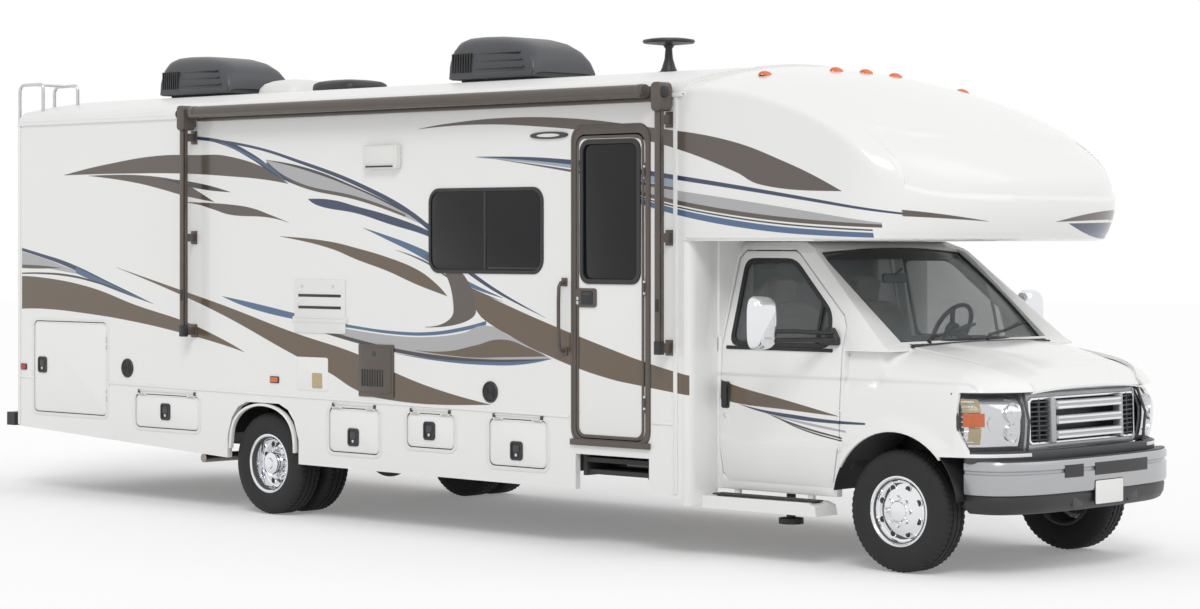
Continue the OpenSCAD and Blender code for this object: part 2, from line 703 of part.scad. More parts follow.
module powertrain() {
    color("gray") {
        slab(fx - 380, fx + 330, -290, 290, engine_z0 + seat_gap, 1000);
        slab(fx - 1180, fx - 379, -150, 150, frame_z0 + 1 + seat_gap, frame_z1 - 10);
        bar_x(rx + diff_r + 15, fx - 1179, 0, shaft_z, shaft_r);
        bar_x(rx + diff_r + 6, rx + diff_r + 16, 0, shaft_z, shaft_r + 15);
    }
}
kingpin_y = 790;
kingpin_r = 16;
module front_axle() {
    color("dimgray") {
        slab(fx - 38, fx + 38, -kingpin_y + 30, kingpin_y - 30, axle_z - 38, axle_z + 38);
        both_sides() {
            bar_z(fx, kingpin_y, axle_z - 38, axle_z + 38, 40);
            bar_z(fx, kingpin_y, axle_z - 82, axle_z + 82, kingpin_r);
            // coil spring and its perch
            bar_z(fx, 500, axle_z + 37, frame_z1 - 60, 55);
            slab(fx - 50, fx + 50, frame_y + seat_gap, 555, frame_z1 - 61, frame_z1 - 40);
        }
    }
}
spring_z = axle_z + 70;
spring_half = 640;
module leaf_springs() {
    color("dimgray") both_sides() {
        slab(rx - spring_half, rx + spring_half, 500, 576, spring_z + 10, spring_z + 26);
        slab(rx - 420, rx + 420, 500, 576, spring_z - 8, spring_z + 10.5);
        slab(rx - 70, rx + 70, 495, 581, axle_z + 61.5, spring_z - 7.5);
        for (s = [-1, 1]) translate([rx + s * (spring_half - 30), 0, 0]) {
            slab(-30, 30, 500, 576, spring_z + 25, frame_z1 - 9);
            slab(-30, 30, frame_y + seat_gap, 576, frame_z1 - 50, frame_z1 - 10);
        }
    }
}
hub_y = dual_outer_y - dual_pitch / 2;
module rear_axle() {
    color("dimgray") {
        bar_y(rx, -dual_outer_y + dual_pitch + 100, dual_outer_y - dual_pitch - 100, axle_z, 60);
        bar_y(rx, -hub_y - 30, hub_y + 30, axle_z, spindle_r);
        translate([rx, 0, axle_z]) sphere(r = diff_r);
        bar_x(rx + 100, rx + diff_r + 6 - seat_gap, 0, shaft_z, shaft_r + 15);
    }
}
module tanks() {
    color("black") {
        // fuel tank between the rails behind the axle
        slab(rx - 1500, rx - 1150, -340, 340, 400, 570);
        for (x = [rx - 1450, rx - 1230])
            slab(x, x + 30, -frame_y + frame_w + seat_gap, frame_y - frame_w - seat_gap, 540, 560);
        // water tanks on top of the rails
        for (f = [[0.535, 0.60], [0.68, 0.83]])
            slab(station(f[0]), station(f[1]), -420, 420, frame_z1 + seat_gap, floor_z - 20);
    }
}
pipe_y = -frame_y - 35;
pipe_r = 30;
pipe_z = 500;
tail_x = rx - 780;
tail_z = 370;
module exhaust() {
    color("silver") {
        bar_x(tail_x, fx - 460, pipe_y, pipe_z, pipe_r);
        bar_z(tail_x, pipe_y, tail_z - pipe_r, pipe_z + pipe_r, pipe_r - 1);
        bar_y(tail_x, -1190, pipe_y + pipe_r, tail_z, pipe_r + 4);
        bar_x(rx + 760, rx + 1260, pipe_y - 35, pipe_z, 62);
        for (x = [tail_x + 100, fx - 700]) slab(x, x + 30, pipe_y, -frame_y - seat_gap, pipe_z - 10, pipe_z + 10);
    }
}
module rear_bumper() {
    color("black") {
        slab(rear_x - bumper_reach, rear_x - bumper_reach + 105, -1130, 1130, 500, 606);
        both_sides() slab(rear_x - bumper_reach + 10, frame_x0 - seat_gap, frame_y - frame_w, frame_y,
            receiver_z + 30, tail_skirt_z - 5);
    }
}

// ---------------------------------------------------------------- wheels
hub_clear = 0.06;
module tyre_ring(y) {
    translate([0, y, 0]) rotate([90, 0, 0]) rotate_extrude() polygon([
        [bead_r + 0.3, -tyre_w / 2 + 24], [bead_r + 16, -tyre_w / 2 + 24], [bead_r + 20, -tyre_w / 2 + 10],
        [bead_r + 60, -tyre_w / 2],
        [tyre_r - 60, -tyre_w / 2 + 4], [tyre_r - 18, -tyre_w / 2 + 16], [tyre_r, -tyre_w / 2 + 34],
        [tyre_r, tyre_w / 2 - 34], [tyre_r - 18, tyre_w / 2 - 16], [tyre_r - 60, tyre_w / 2 - 4],
        [bead_r + 60, tyre_w / 2], [bead_r + 20, tyre_w / 2 - 10], [bead_r + 16, tyre_w / 2 - 24],
        [bead_r + 0.3, tyre_w / 2 - 24]]);
}
// wheel seen in section from its axis: disc_y is where the disc sits, out is its outer side
module rim_ring(y, disc_y, hub_y0, hub_y1) {
    half = tyre_w / 2 - 14;
    translate([0, y, 0]) rotate([-90, 0, 0]) difference() {
        union() {
            difference() {
                translate([0, 0, -half]) cylinder(r = bead_r, h = 2 * half);
                translate([0, 0, -half - 1]) cylinder(r = bead_r - 10, h = 2 * half + 2);
            }
            difference() {
                translate([0, 0, half - 8]) cylinder(r = bead_r + 14, h = 8);
                translate([0, 0, half - 9]) cylinder(r = bead_r - 10, h = 10);
            }
            difference() {
                translate([0, 0, -half]) cylinder(r = bead_r + 14, h = 8);
                translate([0, 0, -half - 1]) cylinder(r = bead_r - 10, h = 10);
            }
            translate([0, 0, disc_y]) cylinder(r = bead_r - 9, h = 12);
            translate([0, 0, hub_y0]) cylinder(r = 62, h = hub_y1 - hub_y0);
        }
        translate([0, 0, hub_y0 - 1]) cylinder(r = spindle_r + hub_clear, h = hub_y1 - hub_y0 - 11);
        for (a = [0:45:315]) rotate([0, 0, a + 22.5]) translate([150, 0, disc_y - 1]) cylinder(r = 20, h = 14);
    }
}
module front_left_tyre() { color("black") translate([fx, 0, axle_z]) tyre_ring(front_track_y); }
module front_right_tyre() { color("black") mirror([0, 1, 0]) front_left_tyre(); }
module front_left_rim() {
    color("silver") translate([fx, 0, axle_z]) rim_ring(front_track_y, 45, -8, 95);
}
module front_right_rim() { mirror([0, 1, 0]) front_left_rim(); }
module rear_left_tyres() {
    color("black") translate([rx, 0, axle_z]) {
        tyre_ring(dual_outer_y);
        tyre_ring(dual_outer_y - dual_pitch);
    }
}
module rear_right_tyres() { mirror([0, 1, 0]) rear_left_tyres(); }
module rear_left_rims() {
    color("silver") translate([rx, 0, axle_z]) {
        rim_ring(dual_outer_y, -78, -dual_pitch + 70, 40);
        rim_ring_inner(dual_outer_y - dual_pitch, 78);
    }
}
module rim_ring_inner(y, disc_y) {
    half = tyre_w / 2 - 14;
    translate([0, y, 0]) rotate([-90, 0, 0]) difference() {
        union() {
            difference() {
                translate([0, 0, -half]) cylinder(r = bead_r, h = 2 * half);
                translate([0, 0, -half - 1]) cylinder(r = bead_r - 10, h = 2 * half + 2);
            }
            translate([0, 0, disc_y]) cylinder(r = bead_r - 9, h = 12);
        }
        translate([0, 0, disc_y - 1]) cylinder(r = 62.3, h = 14);
    }
}
module rear_right_rims() { mirror([0, 1, 0]) rear_left_rims(); }
knuckle_web_y = kingpin_y + 46;
module knuckle() {
    translate([fx, 0, axle_z]) difference() {
        union() {
            slab(-32, 32, knuckle_web_y, knuckle_web_y + 28, -80, 80);
            for (z = [-80, 44]) slab(-32, 32, kingpin_y - 32, knuckle_web_y + 1, z, z + 36);
            bar_y(0, knuckle_web_y + 27, front_track_y + 80, 0, spindle_r);
        }
        bar_z(0, kingpin_y, -100, 100, kingpin_r + pin_clear);
    }
}
module knuckle_left() { color("gray") knuckle(); }
module knuckle_right() { color("gray") mirror([0, 1, 0]) knuckle(); }

// ---------------------------------------------------------------- doors and hatches
module entry_door() {
    color("white") edge_hinges(entry_front_x + door_gap / 2, hw, entry_hinge_z) moving_leaf();
    color("white") difference() {
        slab(entry_rear_x, entry_front_x, -hw, -hw + 40, entry_sill_z, entry_top_z);
        along_y(-hw - cut, -inner_hw + cut)
            round_rect(entry_rear_x + 45, entry_front_x - 45, 1738, 2662, 40);
    }
}
module entry_door_glass() {
    color("black") along_y(-hw + 4, -hw + 12) round_rect(entry_rear_x + 45.4, entry_front_x - 45.4, 1738.4, 2661.6, 39.6);
}
module hatch(h) {
    color("white") slab(h[0] + door_gap, h[1] - door_gap, -hw, -hw + hatch_t, h[2] + door_gap, h[3] - door_gap);
}
module lid(h) {
    hatch(h);
    color("silver") lid_hinges(h) moving_leaf();
}
module rear_hatch_right() {
    hatch(rear_hatch);
    color("silver") edge_hinges(rear_hatch[1] - door_gap / 2, hw, rear_hatch_hinge_z) moving_leaf();
}
module tail_hatch_right() { lid(tail_hatch); }
module mid_hatch_right() { lid(mid_hatch); }
module centre_hatch_right() { lid(centre_hatch); }
module front_hatch_right() { lid(front_hatch); }
module rear_hatch_left() { mirror([0, 1, 0]) rear_hatch_right(); }
module mid_hatch_left() { mirror([0, 1, 0]) mid_hatch_right(); }

module pane(x0, x1, y) {
    along_y(y - 10, y + 10) round_rect(x0 + seat_gap, x1 - seat_gap, window_z0 + seat_gap,
        window_z1 - seat_gap, window_corner - seat_gap);
}
module house_windows() {
    color("black") {
        both_sides() pane(window_x0, window_x1, hw - 10);
        pane(bed_window_x0, bed_window_x1, hw - 10);
        along_x(rear_x, rear_x + 20) round_rect(-rear_window_hw + seat_gap, rear_window_hw - seat_gap,
            window_z0 + seat_gap, window_z1 - seat_gap, window_corner - seat_gap);
    }
}

// ---------------------------------------------------------------- roof and side fittings
awning_x0 = station(0.3277);
awning_x1 = seam_x - 227;
awning_y = -hw - 105;
awning_z = 2965;
module awning() {
    color("dimgray") {
        bar_x(awning_x0, awning_x1, awning_y, awning_z, awning_r);
        for (x = [awning_x0 - 150, awning_x1]) slab(x, x + 150, awning_y - 40, awning_y + 50, 2830, 3020);
        for (x = [awning_x0 - 120, awning_x1 + 95]) {
            slab(x, x + 45, awning_y - 20, awning_y + 30, 1290, 2831);
            for (z = [1300, 2000, 2750]) slab(x + 5, x + 40, awning_y + 29, -hw - seat_gap, z, z + 60);
        }
        slab(awning_x0, awning_x1, awning_y + awning_r - 5, -hw - seat_gap, 2900, 2925);
    }
}
module ac_shroud(x0) {
    base = crown(ac_w / 2 - 60, crown_z) + 30;
    intersection() {
        slab(x0, x0 + ac_len, -ac_w / 2, ac_w / 2, base, base + ac_h);
        along_y(-ac_w, ac_w) polygon([[x0, base], [x0, base + 0.86 * ac_h], [x0 + 40, base + ac_h - 15],
            [x0 + 120, base + ac_h], [x0 + 0.6 * ac_len, base + 0.92 * ac_h],
            [x0 + ac_len - 60, base + 0.6 * ac_h], [x0 + ac_len, base + 0.3 * ac_h], [x0 + ac_len, base]]);
        along_x(x0, x0 + ac_len) polygon([[-ac_w / 2, base], [-ac_w / 2 + 40, base + 0.6 * ac_h],
            [-ac_w / 2 + 110, base + ac_h], [ac_w / 2 - 110, base + ac_h],
            [ac_w / 2 - 40, base + 0.6 * ac_h], [ac_w / 2, base]]);
    }
    difference() {
        slab(x0 + 150, x0 + ac_len - 150, -200, 200, crown_z - 60, base + 1);
        along_x(x0, x0 + ac_len) polygon(concat([[-600, crown_z - 200]],
            crown_arc(600, crown_z + seat_gap), [[600, crown_z - 200]]));
    }
}
rear_ac_x = station(0.0908);
front_ac_x = station(0.5658);
module air_conditioners() {
    color("dimgray") {
        ac_shroud(rear_ac_x);
        ac_shroud(front_ac_x);
    }
}
module roof_seat(x0, x1, y0, y1, h) {
    difference() {
        slab(x0, x1, y0, y1, crown_z - 60, crown_z + h);
        along_x(x0 - 1, x1 + 1) polygon(concat([[-900, crown_z - 300]],
            crown_arc(900, crown_z + seat_gap), [[900, crown_z - 300]]));
    }
}
antenna_x = station(0.8243);
module roof_vents() {
    color("black") {
        roof_seat(station(0.36) - 250, station(0.36) + 250, -230, 230, 75);
        roof_seat(station(0.255) - 250, station(0.255) + 250, -150, 350, 105);
        roof_seat(antenna_x - 70, antenna_x + 70, -70, 70, 30);
        bar_z(antenna_x, 0, crown_z + 29, crown_z + 225, 38);
        bar_z(antenna_x, 0, crown_z + 224, crown_z + 250, 185);
    }
}
ladder_y = -1010;
ladder_half = 170;
ladder_x = rear_x - 110;
ladder_top = crown_z + 110;
function ladder_foot_z(y) = crown(min(y, hw - roof_corner), crown_z) + seat_gap;
module ladder() {
    color("silver") translate([0, ladder_y, 0]) {
        for (y = [-ladder_half, ladder_half]) {
            bar_z(ladder_x, y, 700, ladder_top - 40, 14);
            bar_x(ladder_x + 40, rear_x + 200, y, ladder_top, 14);
            translate([ladder_x + 40, y, ladder_top - 40]) rotate([90, 0, 0]) intersection() {
                rotate_extrude() translate([40, 0]) circle(r = 14);
                translate([-80, 0, -20]) cube([80, 80, 40]);
            }
            bar_z(rear_x + 200, y, ladder_foot_z(abs(ladder_y + y) - 14), ladder_top + 10, 14);
            for (z = [760, 1600, 2500]) bar_x(ladder_x, rear_x - seat_gap, y, z, 10);
        }
        for (i = [0:7]) bar_y(ladder_x, -ladder_half, ladder_half, 800 + 290 * i, 12);
    }
}
module side_fittings() {
    color("gray") {
        translate([0, -hw - seat_gap, 0]) {
            slab(station(0.4753), station(0.4753) + 574, -14, 0, 1350, 1713);
            slab(station(0.5748), station(0.5748) + 385, -30, 0, 896, 1284);
            slab(station(0.59), station(0.59) + 326, -75, 0, 2497, 2697);
            for (x = [station(0.7578), station(0.202)]) bar_y(x, -14, 0, 992, 73);
            slab(entry_rear_x - 62, entry_rear_x - 40, -60, -45, 1271, 1759);
            for (z = [1280, 1730]) slab(entry_rear_x - 62, entry_rear_x - 40, -46, 0, z, z + 22);
        }
        translate([0, hw + seat_gap, 0]) {
            slab(station(0.30), station(0.30) + 574, 0, 14, 1350, 1713);
            slab(station(0.85), station(0.85) + 385, 0, 20, 1000, 1284);
        }
    }
}

chassis_frame();
powertrain();
front_axle();
rear_axle();
leaf_springs();
tanks();
exhaust();
cab_body();
cab_floor();
grille();
lamps();
front_bumper();
windscreen();
dashboard();
steering_wheel();
cab_seats();
running_boards();
house_floor();
storage_boxes();
right_wall();
left_wall();
rear_wall();
roof();
front_cap();
house_windows();
entry_step();
awning();
air_conditioners();
roof_vents();
ladder();
rear_bumper();
side_fittings();
knuckle_left();
knuckle_right();
front_left_tyre();
front_left_rim();
front_right_tyre();
front_right_rim();
rear_left_tyres();
rear_left_rims();
rear_right_tyres();
rear_right_rims();
hood();
cab_door_left();
cab_door_right();
door_glass_left();
door_glass_right();
mirror_left();
mirror_right();
entry_door();
entry_door_glass();
rear_hatch_right();
tail_hatch_right();
mid_hatch_right();
centre_hatch_right();
front_hatch_right();
rear_hatch_left();
mid_hatch_left();
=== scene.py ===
"""Builds the looks of a cab-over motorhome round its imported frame."""
import json
from math import atan2, copysign, cos, degrees, exp, hypot, pi, radians, sin, sqrt, tan

import bpy
import numpy as np
from mathutils import Matrix, Vector

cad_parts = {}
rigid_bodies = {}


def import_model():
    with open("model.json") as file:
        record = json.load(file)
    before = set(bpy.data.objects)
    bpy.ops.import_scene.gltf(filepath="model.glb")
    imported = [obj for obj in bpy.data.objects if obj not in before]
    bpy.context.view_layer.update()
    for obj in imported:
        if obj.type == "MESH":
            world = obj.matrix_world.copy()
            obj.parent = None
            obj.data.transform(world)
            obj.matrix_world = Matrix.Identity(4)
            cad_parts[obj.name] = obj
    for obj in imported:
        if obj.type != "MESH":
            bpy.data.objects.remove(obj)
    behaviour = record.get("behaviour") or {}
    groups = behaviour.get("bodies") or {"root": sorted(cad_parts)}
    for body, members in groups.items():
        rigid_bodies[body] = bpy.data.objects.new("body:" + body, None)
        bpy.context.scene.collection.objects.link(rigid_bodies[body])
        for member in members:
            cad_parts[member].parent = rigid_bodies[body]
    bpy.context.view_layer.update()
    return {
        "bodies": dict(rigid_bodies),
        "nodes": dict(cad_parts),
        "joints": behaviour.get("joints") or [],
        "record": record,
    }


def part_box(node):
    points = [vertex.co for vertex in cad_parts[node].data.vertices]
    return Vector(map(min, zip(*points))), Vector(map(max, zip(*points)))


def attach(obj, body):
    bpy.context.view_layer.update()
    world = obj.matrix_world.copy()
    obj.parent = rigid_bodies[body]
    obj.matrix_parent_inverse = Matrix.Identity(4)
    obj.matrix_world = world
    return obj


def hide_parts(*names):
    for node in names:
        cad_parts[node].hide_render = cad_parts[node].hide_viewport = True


bl_info = {
    "name": "Cab-over motorhome",
    "version": (1, 0, 0),
    "blender": (4, 5, 0),
    "location": "3D View > Sidebar > Motorhome",
    "description": "Adds the body, cab, wheels and fittings of a motorhome round its frame",
    "category": "Add Mesh",
}

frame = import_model()
NODES = frame["nodes"]
SIDES = ((-1, "right"), (1, "left"))

# places along the vehicle, in metres
REAR_X = -4.565
SEAM_X = 2.575
AXLE_X = 4.055
REAR_AXLE_X = -1.5348
HALF_W = 1.27
WHEEL_Z = 0.372
HATCH_BODIES = {
    "rear_hatch_right": "right_rear_hatch",
    "tail_hatch_right": "right_tail_hatch",
    "mid_hatch_right": "right_mid_hatch",
    "centre_hatch_right": "right_centre_hatch",
    "front_hatch_right": "right_front_hatch",
    "rear_hatch_left": "left_rear_hatch",
    "mid_hatch_left": "left_mid_hatch",
}
HATCH_GAP = 0.007
KNUCKLE = 0.0025


def hatch_opening(name):
    """The hole a hatch closes: its rear, front, lower and upper edge, from its box at rest."""
    low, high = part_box(name)
    if name.startswith("rear"):
        front, top = high.x - KNUCKLE, high.z + HATCH_GAP
    else:
        front, top = high.x + HATCH_GAP, high.z - KNUCKLE
    return low.x - HATCH_GAP, front, low.z - HATCH_GAP, top


HATCHES = {name: hatch_opening(name) for name in HATCH_BODIES}
DOOR_X0, DOOR_X1 = 1.645, 2.245
DOOR_Z0, DOOR_Z1 = 0.72, 2.7


# ------------------------------------------------------------------ materials
class Value:
    """A socket among a material's nodes, which can stand in a sum."""

    def __init__(self, surface, socket):
        self.surface = surface
        self.socket = socket

    def math(self, operation, *others, clamp=False):
        return self.surface.node("ShaderNodeMath", {"operation": operation, "use_clamp": clamp},
            (self, *others))

    def __add__(self, other):
        return self.math("ADD", other)

    def __sub__(self, other):
        return self.math("SUBTRACT", other)

    def __rsub__(self, other):
        return self.surface.node("ShaderNodeMath", {"operation": "SUBTRACT"}, (other, self))

    def __mul__(self, other):
        return self.math("MULTIPLY", other)

    def __truediv__(self, other):
        return self.math("DIVIDE", other)

    __radd__ = __add__
    __rmul__ = __mul__

    def over(self, level, soft=0.003):
        """1 where the value is above a level, with a soft edge."""
        return ((self - level) * (1.0 / soft) + 0.5).math("ADD", 0.0, clamp=True)

    def under(self, level, soft=0.003):
        """1 where the value is below a level, with a soft edge."""
        return ((self - level) * (-1.0 / soft) + 0.5).math("ADD", 0.0, clamp=True)


class Surface:
    """A material: one Principled shader and the nodes that feed it."""

    def __init__(self, name, color, roughness=0.5, **fixed):
        self.material = bpy.data.materials.new(name)
        self.material.use_nodes = True
        self.tree = self.material.node_tree
        self.shader = self.tree.nodes["Principled BSDF"]
        self.shader.inputs["Base Color"].default_value = (*color, 1.0)
        self.shader.inputs["Roughness"].default_value = roughness
        for socket, value in fixed.items():
            self.shader.inputs[socket.replace("_", " ").title().replace("Ior", "IOR")].default_value = value
        spot = self.tree.nodes.new("ShaderNodeTexCoord")
        self.spot = Value(self, spot.outputs["Object"])
        split = self.tree.nodes.new("ShaderNodeSeparateXYZ")
        self.tree.links.new(self.spot.socket, split.inputs[0])
        self.x, self.y, self.z = (Value(self, socket) for socket in split.outputs)

    def node(self, kind, settings=None, inputs=(), output=0):
        """Adds a node: its settings first, then the values or links of its sockets."""
        node = self.tree.nodes.new(kind)
        for name, value in (settings or {}).items():
            setattr(node, name, value)
        pairs = inputs.items() if isinstance(inputs, dict) else enumerate(inputs)
        for key, value in pairs:
            if isinstance(value, Value):
                self.tree.links.new(value.socket, node.inputs[key])
            elif value is not None:
                node.inputs[key].default_value = value
        return Value(self, node.outputs[output])

    def noise(self, scale, detail=3.0, stretch=None):
        """A noise from 0 to 1, finer in the directions that stretch is large."""
        place = self.spot
        if stretch:
            place = self.node("ShaderNodeVectorMath", {"operation": "MULTIPLY"}, (place, stretch))
        return self.node("ShaderNodeTexNoise", {}, {"Vector": place, "Scale": scale, "Detail": detail})

    def mix(self, factor, first, second):
        """Mixes two colours."""
        return self.node("ShaderNodeMix", {"data_type": "RGBA"}, {0: factor, 6: first, 7: second}, output=2)

    def curve(self, value, points):
        """A smooth curve through given points, each from 0 to 1 both ways."""
        node = self.tree.nodes.new("ShaderNodeFloatCurve")
        line = node.mapping.curves[0]
        while len(line.points) > 2:
            line.points.remove(line.points[1])
        line.points[0].location = points[0]
        line.points[-1].location = points[-1]
        for point in points[1:-1]:
            line.points.new(*point)
        node.mapping.update()
        self.tree.links.new(value.socket, node.inputs["Value"])
        return Value(self, node.outputs[0])

    def feed(self, socket, value):
        self.tree.links.new(value.socket, self.shader.inputs[socket])

    def bump(self, height, distance, strength=1.0):
        self.feed("Normal", self.node("ShaderNodeBump", {},
            {"Strength": strength, "Distance": distance, "Height": height}))


def plain_finish(name, color, roughness, vary=0.1, scale=6.0, grain=None, stretch=None, **fixed):
    """A moulded, painted or cast finish with cloudy colour, uneven gloss and a fine grain."""
    surface = Surface(name, color, roughness, **fixed)
    cloud = surface.noise(scale, 4.0, stretch)
    dark = (*[c * (1.0 - vary) for c in color], 1.0)
    light = (*[min(1.0, c * (1.0 + vary)) for c in color], 1.0)
    surface.feed("Base Color", surface.mix(cloud, dark, light))
    surface.feed("Roughness", cloud * (0.3 * roughness) + 0.85 * roughness)
    if grain:
        surface.bump(surface.noise(grain[0], 2.0, stretch), grain[1], 0.6)
    return surface.material


